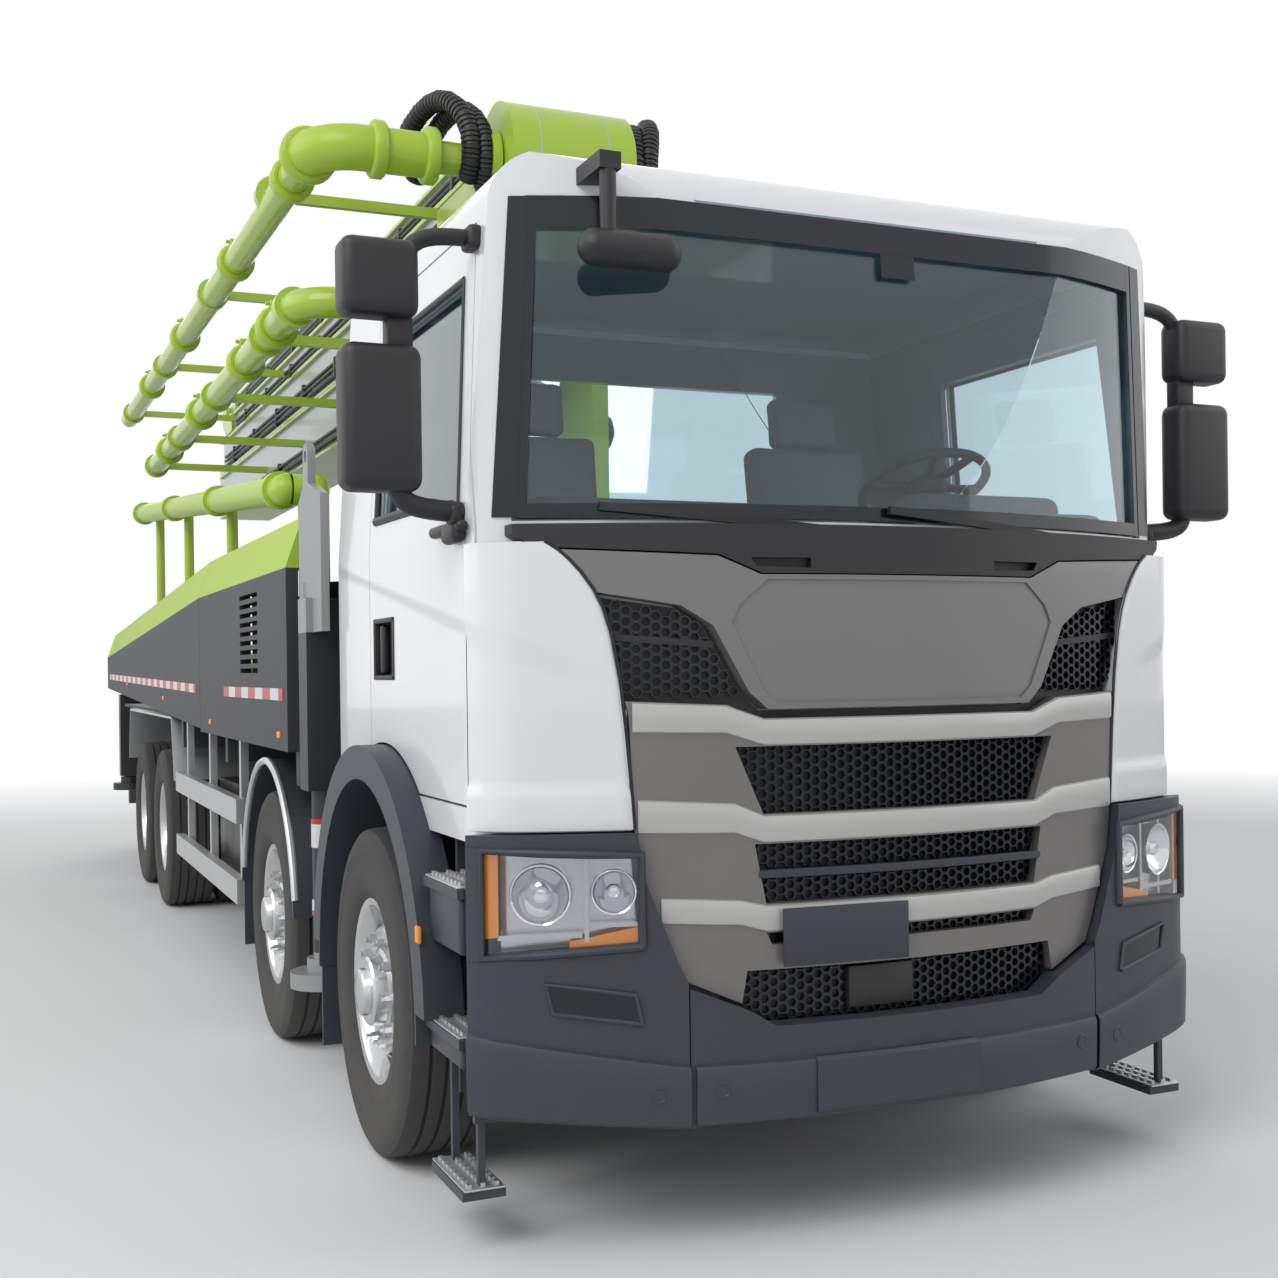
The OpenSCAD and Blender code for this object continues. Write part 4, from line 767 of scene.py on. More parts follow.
def copied(obj: bpy.types.Object, place: Matrix) -> bpy.types.Object:
    """Copies a piece with its own mesh.

    Args:
        obj: The piece to copy.
        place: Where the copy's mesh goes.

    Returns:
        The copy.
    """
    made = obj.copy()
    made.data = obj.data.copy()
    bpy.context.collection.objects.link(made)
    made.data.transform(place)
    if place.determinant() < 0:
        made.data.flip_normals()
    return made


def joined(pieces: Iterable[bpy.types.Object]) -> bpy.types.Object:
    """Joins meshes into one piece.

    Args:
        pieces: The meshes.

    Returns:
        The joined piece.
    """
    listed = list(pieces)
    deselect()
    for piece in listed:
        piece.select_set(True)
    bpy.context.view_layer.objects.active = listed[0]
    if len(listed) > 1:
        bpy.ops.object.join()
    return listed[0]


def mirrored(obj: bpy.types.Object) -> bpy.types.Object:
    """Adds a piece's mirror image on the other side of the truck to it.

    Args:
        obj: The piece.

    Returns:
        The piece with both sides.
    """
    return joined([obj, copied(obj, Matrix.Scale(-1.0, 4, (1, 0, 0)))])


def dress(obj: bpy.types.Object, name: str, paints: Sequence[Paint], body: str,
          angle: float = 35.0) -> bpy.types.Object:
    """Names, paints and shades a finished piece and hangs it on its body.

    Args:
        obj: The piece.
        name: Its name.
        paints: Its finishes in slot order.
        body: The CAD body that it rides on.
        angle: Edge angle below which faces are smooth, in degrees.

    Returns:
        The same piece.
    """
    obj.name = name
    obj.data.name = name
    for index, paint in enumerate(paints):
        material = paint.value.make()
        if index < len(obj.data.materials):
            obj.data.materials[index] = material
        else:
            obj.data.materials.append(material)
    deselect()
    obj.select_set(True)
    bpy.context.view_layer.objects.active = obj
    bpy.ops.object.shade_smooth_by_angle(angle=math.radians(angle))
    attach(obj, body)
    LOG.info("%s: %d faces on %s", name, len(obj.data.polygons), body)
    return obj


def bow_y(x: float, nose: float, radius: float = NOSE_R) -> float:
    """Gives the place of a bowed front.

    Args:
        x: Distance from the middle.
        nose: Place of its foremost point.
        radius: Radius of the bow.

    Returns:
        The place along the truck.
    """
    return nose + radius - math.sqrt(radius * radius - x * x)


def front_plan(half: float, nose: float, corner: float, along: float,
               out: float = 0.0) -> tuple[float, float]:
    """Gives a point of a rounded front's plan: a wide arc and a corner arc tangent to it.

    Args:
        half: Half width of the front.
        nose: Place of its foremost point.
        corner: Radius of its corners.
        along: Distance from the middle along the plan.
        out: Distance in front of the plan.

    Returns:
        The point's x and y.
    """
    centre_y, corner_x = nose + NOSE_R, half - corner
    corner_y = centre_y - math.sqrt((NOSE_R - corner) ** 2 - corner_x ** 2)
    turn = math.atan2(corner_x, centre_y - corner_y)
    angle = along / NOSE_R
    if angle <= turn:
        return (NOSE_R + out) * math.sin(angle), centre_y - (NOSE_R + out) * math.cos(angle)
    angle = min(turn + (along - turn * NOSE_R) / corner, math.pi / 2)
    return corner_x + (corner + out) * math.sin(angle), corner_y - (corner + out) * math.cos(angle)


def plan_reach(x: float) -> float:
    """Gives the distance along the wide arc of a front at which it is so far from the middle.

    Args:
        x: Distance from the middle.

    Returns:
        The distance along the plan.
    """
    return NOSE_R * math.asin(x / NOSE_R)


def front_point(along: float, z: float, out: float) -> Point:
    """Gives a point on the cab's front below the windscreen.

    Args:
        along: Distance from the middle along the front.
        z: Height.
        out: Distance in front of it.

    Returns:
        The point.
    """
    return (*front_plan(FRONT_HALF, FRONT_NOSE_Y, FRONT_CORNER, along, out), z)


def between(low: float, high: float, share: float) -> float:
    """Gives the value at a share of the way from one number to another."""
    return low + (high - low) * share


def clamped(value: float) -> float:
    """Keeps a share between 0 and 1."""
    return min(1.0, max(0.0, value))


def bent_sheet(columns: Sequence[float], rows: Sequence[float], point: Callable[[float, float], Point],
               thick: float) -> bpy.types.Object:
    """Models a bent sheet from a grid.

    Args:
        columns: Shares across the sheet, from 0 to 1.
        rows: Shares up the sheet, from 0 to 1.
        point: Gives a point of the sheet for a pair of shares.
        thick: The sheet's thickness.

    Returns:
        The piece.
    """
    deselect()
    bpy.ops.mesh.primitive_grid_add(x_subdivisions=len(columns) - 1, y_subdivisions=len(rows) - 1, size=1.0)
    made = bpy.context.object
    for vertex in made.data.vertices:
        column = columns[round((vertex.co.x + 0.5) * (len(columns) - 1))]
        row = rows[round((vertex.co.y + 0.5) * (len(rows) - 1))]
        vertex.co = point(column, row)
    settle(made)
    bpy.ops.object.mode_set(mode="EDIT")
    bpy.ops.mesh.select_all(action="SELECT")
    bpy.ops.mesh.normals_make_consistent(inside=False)
    bpy.ops.object.mode_set(mode="OBJECT")
    return modify(made, "SOLIDIFY", thickness=thick, offset=0.0)


def steps(count: int) -> list[float]:
    """Gives even shares from 0 to 1.

    Args:
        count: How many gaps they leave.

    Returns:
        The shares.
    """
    return [k / count for k in range(count + 1)]


@dataclass
class Wheels:
    """The truck's wheels: ribbed tyres on silver rims with hand holes, hubs and nuts."""

    width: float = 0.315
    tyre_r: float = 0.530
    bead_r: float = 0.290
    out_x: float = 1.235
    twin_gap: float = 0.030
    nuts: int = 10
    nut_ring: float = 0.1675
    holes: int = 10
    grooves: Sequence[float] = (-0.078, -0.027, 0.027, 0.078)
    groove_w: float = 0.006
    groove_d: float = 0.013
    crown: float = 0.06
    tread_steps: int = 84
    hub_steps: int = 40
    hole_inset: float = 0.006
    hole_d: float = 0.035

    def tyre(self) -> bpy.types.Object:
        """Models a tyre with grooves round its tread.

        Returns:
            The tyre, round the x axis at the origin.
        """
        half, bead, top = self.width / 2, self.bead_r, self.tyre_r
        side = [
            (-half + 0.044, bead + 0.001), (-half + 0.026, bead + 0.012), (-half + 0.012, bead + 0.034),
            (-half + 0.004, bead + 0.070), (-half, bead + 0.110), (-half + 0.003, bead + 0.150),
            (-half + 0.001, bead + 0.155), (-half + 0.005, bead + 0.185), (-half + 0.010, top - 0.030),
            (-half + 0.022, top - 0.010), (-half + 0.034, top - 0.005),
        ]
        tread: list[tuple[float, float]] = []
        for x in self.grooves:
            rise = top - self.crown * x * x
            tread += [(x - self.groove_w, rise), (x - 0.6 * self.groove_w, rise - self.groove_d),
                      (x + 0.6 * self.groove_w, rise - self.groove_d), (x + self.groove_w, rise)]
        profile = side + tread + [(-x, r) for x, r in reversed(side)]
        made = lathe(profile, self.tread_steps)
        return modify(made, "BEVEL", width=0.002, segments=1, limit_method="ANGLE",
                      angle_limit=math.radians(50))

    def rim(self, dish: Sequence[tuple[float, float]], hole_r: tuple[float, float]) -> bpy.types.Object:
        """Models a rim with its dish and cuts hand holes into the dish.

        Args:
            dish: Profile of the rim and dish as distance along x and radius.
            hole_r: Inner and outer radius of the ring of holes.

        Returns:
            The rim, round the x axis at the origin.
        """
        sectors = self.holes * 4
        made = lathe(dish, sectors)
        deselect()
        bpy.context.view_layer.objects.active = made
        made.select_set(True)
        bpy.ops.object.mode_set(mode="EDIT")
        bpy.ops.mesh.select_all(action="DESELECT")
        bpy.ops.mesh.select_mode(type="FACE")
        bpy.ops.object.mode_set(mode="OBJECT")
        made.data.materials.append(None)
        made.data.materials.append(None)
        for face in made.data.polygons:
            radius = math.hypot(face.center.y, face.center.z)
            sector = int(math.atan2(face.center.y, face.center.z) / math.tau * sectors + sectors) % 4
            face.select = hole_r[0] < radius < hole_r[1] and abs(face.normal.x) > 0.5 and sector in (1, 2)
        bpy.ops.object.mode_set(mode="EDIT")
        bpy.ops.mesh.inset(thickness=self.hole_inset)
        bpy.ops.mesh.extrude_region_shrink_fatten(TRANSFORM_OT_shrink_fatten={"value": -self.hole_d})
        made.active_material_index = 1
        bpy.ops.object.material_slot_assign()
        bpy.ops.object.mode_set(mode="OBJECT")
        return made

    def nut_circle(self, x: float, length: float) -> bpy.types.Object:
        """Models the circle of wheel nuts with their studs.

        Args:
            x: Face that the nuts sit on.
            length: Height of a nut.

        Returns:
            All the nuts as one mesh.
        """
        end = x + length
        nut = lathe([(x - 0.004, 0.0), (x - 0.004, 0.021), (x + 0.004, 0.021), (x + 0.004, 0.017),
                     (end, 0.0155), (end, 0.010), (end + 0.012, 0.010), (end + 0.014, 0.0)], 6)
        out = Matrix.Translation((0, 0, self.nut_ring))
        ring = [copied(nut, Matrix.Rotation(math.tau * (k + 0.5) / self.nuts, 4, "X") @ out)
                for k in range(self.nuts)]
        bpy.data.objects.remove(nut)
        return joined(ring)

    def single(self) -> list[tuple[bpy.types.Object, str, Sequence[Paint], str]]:
        """Models a steered wheel round the origin, its outer side towards +x.

        Returns:
            Mesh, name, finishes and slot of each piece.
        """
        b, half = self.bead_r, self.width / 2
        dish = [
            (-half + 0.030, b + 0.010), (-half + 0.028, b - 0.014), (-0.06, b - 0.020), (0.040, b - 0.020),
            (half - 0.055, b - 0.016), (half - 0.030, b + 0.012), (half - 0.026, b + 0.010),
            (half - 0.030, b - 0.012), (half - 0.050, b - 0.030), (0.062, b - 0.040), (0.088, b - 0.075),
            (0.104, 0.200), (0.106, 0.142), (0.104, 0.138), (0.098, 0.138),
        ]
        hub = [(0.085, 0.138), (0.106, 0.134), (0.112, 0.118), (0.150, 0.112), (0.158, 0.104), (0.160, 0.078),
               (0.176, 0.074), (0.182, 0.066), (0.184, 0.030), (0.183, 0.0)]
        metal = joined([lathe(hub, self.hub_steps), self.nut_circle(0.106, 0.028)])
        return [
            (self.tyre(), "tyre", (Paint.RUBBER,), "wheel"),
            (self.rim(dish, (0.205, 0.245)), "rim", (Paint.RIM, Paint.BLACK), "steel"),
            (metal, "hub", (Paint.RIM,), "steel"),
        ]

    def twin(self) -> list[tuple[bpy.types.Object, str, Sequence[Paint], str]]:
        """Models a twin wheel round the origin, its outer side towards +x.

        Returns:
            Mesh, name, finishes and slot of each piece.
        """
        b, half, offset = self.bead_r, self.width / 2, (self.width + self.twin_gap) / 2
        tyre = self.tyre()
        pair = joined([copied(tyre, Matrix.Translation((shift, 0, 0))) for shift in (offset, -offset)])
        bpy.data.objects.remove(tyre)
        edge = offset + half
        dish = [
            (-edge + 0.030, b + 0.010), (-edge + 0.028, b - 0.014), (edge - 0.055, b - 0.022),
            (edge - 0.030, b + 0.012), (edge - 0.026, b + 0.010), (edge - 0.030, b - 0.012),
            (edge - 0.060, b - 0.032), (0.090, b - 0.042), (0.040, b - 0.060), (0.012, 0.205),
            (0.008, 0.142), (0.004, 0.138),
        ]
        hub = [(0.000, 0.138), (0.012, 0.134), (0.030, 0.125), (0.130, 0.115), (0.150, 0.108), (0.160, 0.090),
               (0.175, 0.085), (0.180, 0.070), (0.182, 0.0)]
        metal = joined([lathe(hub, self.hub_steps), self.nut_circle(0.010, 0.030)])
        return [
            (pair, "tyre", (Paint.RUBBER,), "wheel"),
            (self.rim(dish, (0.208, 0.240)), "rim", (Paint.RIM, Paint.BLACK), "steel"),
            (metal, "hub", (Paint.RIM,), "steel"),
        ]

    def build(self) -> None:
        """Places the wheels on their axles and hides the CAD wheels."""
        for numbers, pieces, middle in (
            ((1, 2), self.single(), self.out_x - self.width / 2),
            ((3, 4), self.twin(), self.out_x - self.width - self.twin_gap / 2),
        ):
            for number in numbers:
                for side, sign in SIDES:
                    body = f"wheel_{number}_{side}"
                    turn = Matrix.Identity(4) if sign > 0 else Matrix.Rotation(math.pi, 4, "Z")
                    place = Matrix.Translation((sign * middle, AXLE_Y[number - 1], AXLE_Z)) @ turn
                    for mesh, name, paints, slot in pieces:
                        made = dress(copied(mesh, place), f"{name}_{number}_{side}", paints, body)
                        if name == "tyre":
                            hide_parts(body)
            for mesh, _, _, _ in pieces:
                bpy.data.objects.remove(mesh)


@dataclass
class Stage:
    """Camera at the photograph's place, soft light, and a pale floor that runs into a white background."""

    eye: Point = (-2.379, -9.923, 1.566)
    yaw: float = 24.949
    pitch: float = -0.161
    roll: float = -0.739
    lens: float = 45.04
    shift: tuple[float, float] = (-0.0611, 0.0261)
    floor_half: float = 60.0
    fade: tuple[float, float] = (8.5, 16.0)
    floor_z: float = -0.001
    floor_rgb: tuple[Colour, Colour] = ((0.83, 0.83, 0.83), (0.87, 0.87, 0.87))
    sky_rgb: Colour = (0.92, 0.95, 1.0)
    sky_power: float = 0.42
    lamps: Sequence[tuple[str, Point, Point, float, float]] = (
        ("key", (-9.0, -11.0, 11.0), (-0.5, -4.0, 1.6), 9.0, 950.0),
        ("fill", (10.0, -9.0, 7.0), (0.5, -3.0, 1.5), 10.0, 260.0),
        ("side", (-14.0, 2.0, 8.0), (-1.0, 0.5, 1.6), 12.0, 600.0),
        ("back", (3.0, 15.0, 9.0), (0.0, 3.0, 1.8), 10.0, 420.0),
    )

    def camera(self) -> None:
        """Sets the camera."""
        data = bpy.data.cameras.new("camera")
        data.lens = self.lens
        data.sensor_width = 36.0
        data.shift_x, data.shift_y = self.shift
        data.clip_end = 300.0
        made = bpy.data.objects.new("camera", data)
        bpy.context.collection.objects.link(made)
        yaw, pitch, roll = (math.radians(v) for v in (self.yaw, self.pitch, self.roll))
        ahead = Vector((math.sin(yaw) * math.cos(pitch), math.cos(yaw) * math.cos(pitch), math.sin(pitch)))
        level = Vector((math.cos(yaw), -math.sin(yaw), 0.0))
        up = level.cross(ahead)
        right = math.cos(roll) * level + math.sin(roll) * up
        top = right.cross(ahead)
        turn = Matrix((right, top, -ahead)).transposed()
        made.matrix_world = Matrix.Translation(self.eye) @ turn.to_4x4()
        bpy.context.scene.camera = made

    def lamp(self, name: str, place: Point, aim: Point, size: float, power: float) -> None:
        """Adds a soft lamp.

        Args:
            name: Its name.
            place: Where it stands.
            aim: What it points at.
            size: Its width.
            power: Its power.
        """
        data = bpy.data.lights.new(name, "AREA")
        data.size = size
        data.energy = power
        made = bpy.data.objects.new(name, data)
        bpy.context.collection.objects.link(made)
        made.location = place
        made.rotation_euler = (Vector(aim) - Vector(place)).to_track_quat("-Z", "Y").to_euler()

    def backdrop_colour(self, graph: Graph, lit: bpy.types.NodeSocket, out: bpy.types.NodeSocket) -> None:
        """Shows plain white to the camera, to gloss and through glass, and another shader to other rays.

        Args:
            graph: Where the nodes go.
            lit: The shader that lights the object.
            out: The output's surface socket.
        """
        path = graph.node("LightPath")
        seen = graph.math("MAXIMUM", path.outputs["Is Camera Ray"], path.outputs["Is Transmission Ray"])
        seen = graph.math("MAXIMUM", seen, path.outputs["Is Glossy Ray"])
        white = graph.node("Background")
        white.inputs["Color"].default_value = (1, 1, 1, 1)
        pick = graph.node("MixShader")
        graph.link(seen, pick.inputs[0])
        graph.link(lit, pick.inputs[1])
        graph.link(white.outputs[0], pick.inputs[2])
        graph.link(pick.outputs[0], out)

    def light(self) -> None:
        """Sets the world and the lamps."""
        scene = bpy.context.scene
        scene.view_settings.view_transform = "Standard"
        world = bpy.data.worlds.new("studio")
        world.use_nodes = True
        scene.world = world
        graph = Graph(world.node_tree)
        soft = world.node_tree.nodes["Background"]
        soft.inputs["Color"].default_value = (*self.sky_rgb, 1)
        soft.inputs["Strength"].default_value = self.sky_power
        self.backdrop_colour(graph, soft.outputs[0], world.node_tree.nodes["World Output"].inputs["Surface"])
        for lamp in self.lamps:
            self.lamp(*lamp)

    def floor(self) -> None:
        """Lays the floor."""
        deselect()
        bpy.ops.mesh.primitive_plane_add(size=2 * self.floor_half, location=(0, 0, self.floor_z))
        made = settle(bpy.context.object)
        made.name = "floor"
        material = bpy.data.materials.new("floor_pale")
        material.use_nodes = True
        graph = Graph(material.node_tree)
        shader = material.node_tree.nodes["Principled BSDF"]
        cloud = noise(graph, 0.8, 3.0)
        graph.link(graph.mix(cloud, *self.floor_rgb), shader.inputs["Base Color"])
        shader.inputs["Roughness"].default_value = 0.85
        x, y, _ = graph.place()
        square = graph.math("ADD", graph.math("MULTIPLY", x, x), graph.math("MULTIPLY", y, y))
        away = graph.math("SQRT", square)
        fade = graph.math("DIVIDE", graph.math("SUBTRACT", away, self.fade[0]), self.fade[1] - self.fade[0])
        fade.node.use_clamp = True
        glow = graph.node("Emission")
        pick = graph.node("MixShader")
        seen = graph.node("LightPath").outputs["Is Camera Ray"]
        graph.link(graph.math("MULTIPLY", fade, seen), pick.inputs[0])
        graph.link(shader.outputs[0], pick.inputs[1])
        graph.link(glow.outputs[0], pick.inputs[2])
        graph.link(pick.outputs[0], material.node_tree.nodes["Material Output"].inputs["Surface"])
        made.data.materials.append(material)

    def build(self) -> None:
        """Sets up the whole stage."""
        self.camera()
        self.light()
        self.floor()


def inside(area: Sequence[tuple[float, float]], x: float, z: float) -> bool:
    """Tells whether a point lies in a polygon.

    Args:
        area: The polygon's corners.
        x: The point's first coordinate.
        z: The point's second coordinate.

    Returns:
        True inside.
    """
    odd = False
    for (ax, az), (bx, bz) in zip(area, [*area[1:], area[0]]):
        if (az > z) != (bz > z) and x < ax + (z - az) / (bz - az) * (bx - ax):
            odd = not odd
    return odd


@dataclass
class Grille:
    """The grille's honeycomb and the pale faces of its bars."""

    hex_pitch: float = 0.034
    hex_wall: float = 0.0045
    hex_half: float = 0.007
    hex_depth: float = 0.036
    proud: float = 0.010
    sunk: float = 0.003
    sheet: float = 0.004
    kink_step: float = 0.050
    openings: Sequence[Sequence[tuple[float, float]]] = (
        ((-0.515, 1.346), (0.515, 1.346), (0.443, 1.174), (-0.443, 1.174)),
        ((-0.466, 1.083), (0.466, 1.083), (0.455, 1.016), (-0.455, 1.016)),
        ((-0.452, 0.996), (0.452, 0.996), (0.438, 0.930), (-0.438, 0.930)),
        ((-0.438, 0.843), (0.438, 0.843), (0.425, 0.818), (-0.425, 0.818)),
        ((-0.490, 0.742), (0.490, 0.742), (0.500, 0.664), (0.430, 0.615), (-0.430, 0.615), (-0.500, 0.664)),
        ((-0.868, 1.752), (-0.665, 1.718), (-0.592, 1.668), (-0.500, 1.492), (-0.810, 1.492)),
        ((0.868, 1.752), (0.665, 1.718), (0.592, 1.668), (0.500, 1.492), (0.810, 1.492)),
    )
    pale_bars: Sequence[Sequence[tuple[float, float, float]]] = (
        ((0.0, 1.355, 1.426), (0.440, 1.355, 1.426), (0.545, 1.390, 1.464), (0.790, 1.396, 1.477)),
        ((0.0, 1.092, 1.165), (0.445, 1.092, 1.165), (0.525, 1.120, 1.200), (0.778, 1.126, 1.216)),
        ((0.0, 0.851, 0.921), (0.440, 0.851, 0.921), (0.510, 0.872, 0.938), (0.722, 0.884, 0.952)),
    )
    thin_bar: Sequence[tuple[float, float, float]] = (
        (0.0, 0.996, 1.016), (0.452, 0.996, 1.016), (0.458, 0.999, 1.013),
    )

    def ring(self) -> bpy.types.Object:
        """Models one honeycomb cell.

        Returns:
            The cell round the y axis at the origin.
        """
        r = self.hex_pitch / 2
        end, inner = self.hex_half, r - self.hex_wall
        made = lathe([(-end, r), (-end, inner), (end, inner), (end, r), (-end, r)], 6, math.pi / 6)
        made.data.transform(Matrix.Rotation(math.pi / 2, 4, "Z"))
        return made

    def honeycomb(self) -> None:
        """Models the honeycomb behind the grille's openings as rings of six sides."""
        cell = self.ring()
        rings = []
        step_x, step_z = self.hex_pitch * 0.75, self.hex_pitch * 0.866
        for area in self.openings:
            xs, zs = [x for x, _ in area], [z for _, z in area]
            for column in range(math.floor(min(xs) / step_x), math.ceil(max(xs) / step_x) + 1):
                for row in range(math.floor(min(zs) / step_z), math.ceil(max(zs) / step_z) + 1):
                    x, z = column * step_x, (row + 0.5 * (column % 2)) * step_z
                    if inside(area, x, z):
                        turn = Matrix.Rotation(math.asin(x / NOSE_R), 4, "Z")
                        place = Matrix.Translation((x, bow_y(x, FRONT_NOSE_Y) + self.hex_depth, z))
                        rings.append(copied(cell, place @ turn))
        bpy.data.objects.remove(cell)
        dress(joined(rings), "grille_honeycomb", (Paint.GLOSS_BLACK,), "chassis")

    def bar(self, route: Sequence[tuple[float, float, float]]) -> bpy.types.Object:
        """Models the pale face of one bar over the plain CAD bars.

        Args:
            route: Distance from the middle, lower and upper height at each kink, from the middle outwards.

        Returns:
            The face on both sides.
        """
        stops: list[tuple[float, float, float]] = []
        for (xa, la, ha), (xb, lb, hb) in zip(route, route[1:]):
            parts = max(2, round((xb - xa) / self.kink_step))
            stops += [(xa + (xb - xa) * k / parts, la + (lb - la) * k / parts, ha + (hb - ha) * k / parts)
                      for k in range(parts)]
        stops.append(route[-1])
        rise = {0.0: 0.0, 0.05: 0.85, 0.12: 1.0, 0.88: 1.0, 0.95: 0.85, 1.0: 0.0}

        def at(column: float, row: float) -> Point:
            x, low, high = stops[round(column * (len(stops) - 1))]
            return front_point(plan_reach(x), between(low, high, row), self.proud * rise[row] - self.sunk)

        return mirrored(bent_sheet(steps(len(stops) - 1), list(rise), at, self.sheet))

    def bars(self) -> None:
        """Models the pale faces of the three main bars and the dark one between the middle openings."""
        faces = [self.bar(route) for route in self.pale_bars]
        dress(joined(faces), "bar_faces", (Paint.BARS,), "chassis")
        thin = self.bar(self.thin_bar)
        dress(thin, "bar_thin", (Paint.CHARCOAL,), "chassis")

    def build(self) -> None:
        """Models the grille."""
        self.honeycomb()
        self.bars()


@dataclass(frozen=True)
class Band:
    """A strip of a headlamp on the bumper's plan; heights are given at its inner and outer end."""

    start: float
    end: float
    low: tuple[float, float]
    high: tuple[float, float]
    out: float
    thick: float


@dataclass
class CabTrim:
    """What is seen on the cab's front from a step away: dark glass edges, lamps, lips, caps and plates."""

    # Windscreen edge
    frit_top: float = 0.085
    frit_side: float = 0.030
    screen_low_z: float = 1.975
    screen_top_z: float = 2.842
    screen_hw: tuple[float, float] = (1.058, 1.018)
    rake: tuple[float, float, float] = (1.960, 2.815, 0.090)
    frit_depth: float = 0.002
    frit_foot: float = 0.045
    glass_size: tuple[float, float] = (2.100, 0.857)
    sensor: tuple[Sequence[float], Sequence[float]] = ((0.505, 0.53, 0.56), (0.82, 0.90))
    # Headlamps on the bumper
    bumper_half: float = 1.245
    bumper_corner: float = 0.240
    lens: Band = Band(0.802, 1.222, (0.838, 0.815), (1.068, 1.086), -0.008, 0.003)
    trays: Sequence[Band] = (
        Band(0.802, 1.190, (0.838, 0.814), (1.068, 1.086), -0.062, 0.004),
        Band(0.938, 0.950, (0.846, 0.846), (1.072, 1.072), -0.034, 0.044),
        Band(0.806, 0.934, (0.884, 0.884), (0.896, 0.896), -0.036, 0.040),
        Band(0.956, 1.184, (0.858, 0.852), (0.872, 0.866), -0.036, 0.040),
    )
    ambers: Sequence[Band] = (
        Band(1.180, 1.218, (0.862, 0.858), (1.080, 1.082), -0.014, 0.006),
        Band(0.804, 0.990, (0.842, 0.832), (0.884, 0.848), -0.016, 0.006),
    )
    rim_end: Band = Band(1.218, 1.268, (0.800, 0.800), (1.100, 1.100), 0.003, 0.006)
    rim_route: Sequence[tuple[float, float]] = (
        (0.797, 0.832), (0.940, 0.824), (1.080, 0.816), (1.222, 0.808), (1.222, 1.092), (1.080, 1.086),
        (0.940, 1.080), (0.797, 1.074), (0.797, 0.832),
    )
    rim_r: float = 0.013
    bowls: Sequence[tuple[float, float, float]] = ((0.871, 0.976, 0.056), (1.066, 0.972, 0.076))
    bowl_d: float = 0.040
    # Bumper lips, from their inner to their outer end
    lip_end: tuple[float, float] = (0.674, 1.266)
    lip_low: tuple[float, float] = (0.346, 0.392)
    lip_high: tuple[float, float] = (0.512, 0.612)
    lip_middle: tuple[float, float] = (0.655, 0.350)
    # Corner faces
    face_z: tuple[float, float] = (1.139, 1.906)
    face_end: float = 1.262
    face_edge: Sequence[tuple[float, float]] = (
        (1.139, 0.790), (1.270, 0.798), (1.401, 0.808), (1.539, 0.822), (1.660, 0.842), (1.730, 0.862),
        (1.780, 0.885), (1.825, 0.915), (1.860, 0.945), (1.885, 0.972), (1.906, 1.005),
    )
    face_sheet: float = 0.004
    swell: tuple[float, float] = (0.920, 0.200)
    fold: tuple[float, float] = (1.215, 1.656)
    fold_slope: float = 0.350
    fold_soft: float = 0.060
    foot: tuple[float, float] = (1.262, 0.030)
    brink: float = 0.030
    # Pillar edges, from the belt to the roof
    pillar_z: tuple[float, float] = (1.978, 2.840)
    pillar_x: tuple[float, float] = (1.050, 1.010)
    pillar_w: tuple[float, float] = (0.066, 0.054)
    pillar_corner: float = 0.130
    # Tow caps, fog lamp panels and middle plate of the bumper
    tow_caps: Sequence[tuple[float, float]] = ((0.590, 0.445), (0.760, 0.440))
    fog_start: tuple[float, float] = (0.800, 0.628)
    fog_size: tuple[float, float] = (0.235, 0.078)
    fog_lean: tuple[float, float] = (0.018, 0.034)
    fog_rim_r: float = 0.007
    middle_x: tuple[float, float] = (-0.330, 0.180)
    middle_z: tuple[float, float] = (0.362, 0.512)
    # Number plate and the block in the lower mesh
    plate_x: float = -0.218
    plate_half: float = 0.188
    plate_z: tuple[float, float] = (0.757, 0.914)
    mesh_block: Box = Box((-0.200, 0.014, 0.622), (0.005, 0.040, 0.738), 0.006)

    def screen_point(self, x: float, z: float, depth: float) -> Point:
        """Gives a point on the windscreen.

        Args:
            x: Distance from the middle.
            z: Height.
            depth: Depth behind the cab's outer form.

        Returns:
            The point.
        """
        low, high, back = self.rake
        lean = max(0.0, (z - low) / (high - low)) * back
        return (x, max(bow_y(x, CAB_NOSE_Y) + depth, CAB_NOSE_Y + lean + depth), z)

    def bumper_point(self, along: float, z: float, out: float) -> Point:
        """Gives a point on the bumper.

        Args:
            along: Distance from the middle along the bumper.
            z: Height.
            out: Distance in front of the bumper.

        Returns:
            The point.
        """
        return (*front_plan(self.bumper_half, BUMPER_NOSE_Y, self.bumper_corner, along, out), z)

    def screen_edge(self) -> None:
        """Models the dark edge of the windscreen, with a deep band and a sensor box at the top."""
        def at(column: float, row: float) -> Point:
            z = self.screen_low_z + row * (self.screen_top_z - self.screen_low_z)
            half = self.screen_hw[0] + row * (self.screen_hw[1] - self.screen_hw[0])
            return self.screen_point((2 * column - 1) * half, z, -self.frit_depth)

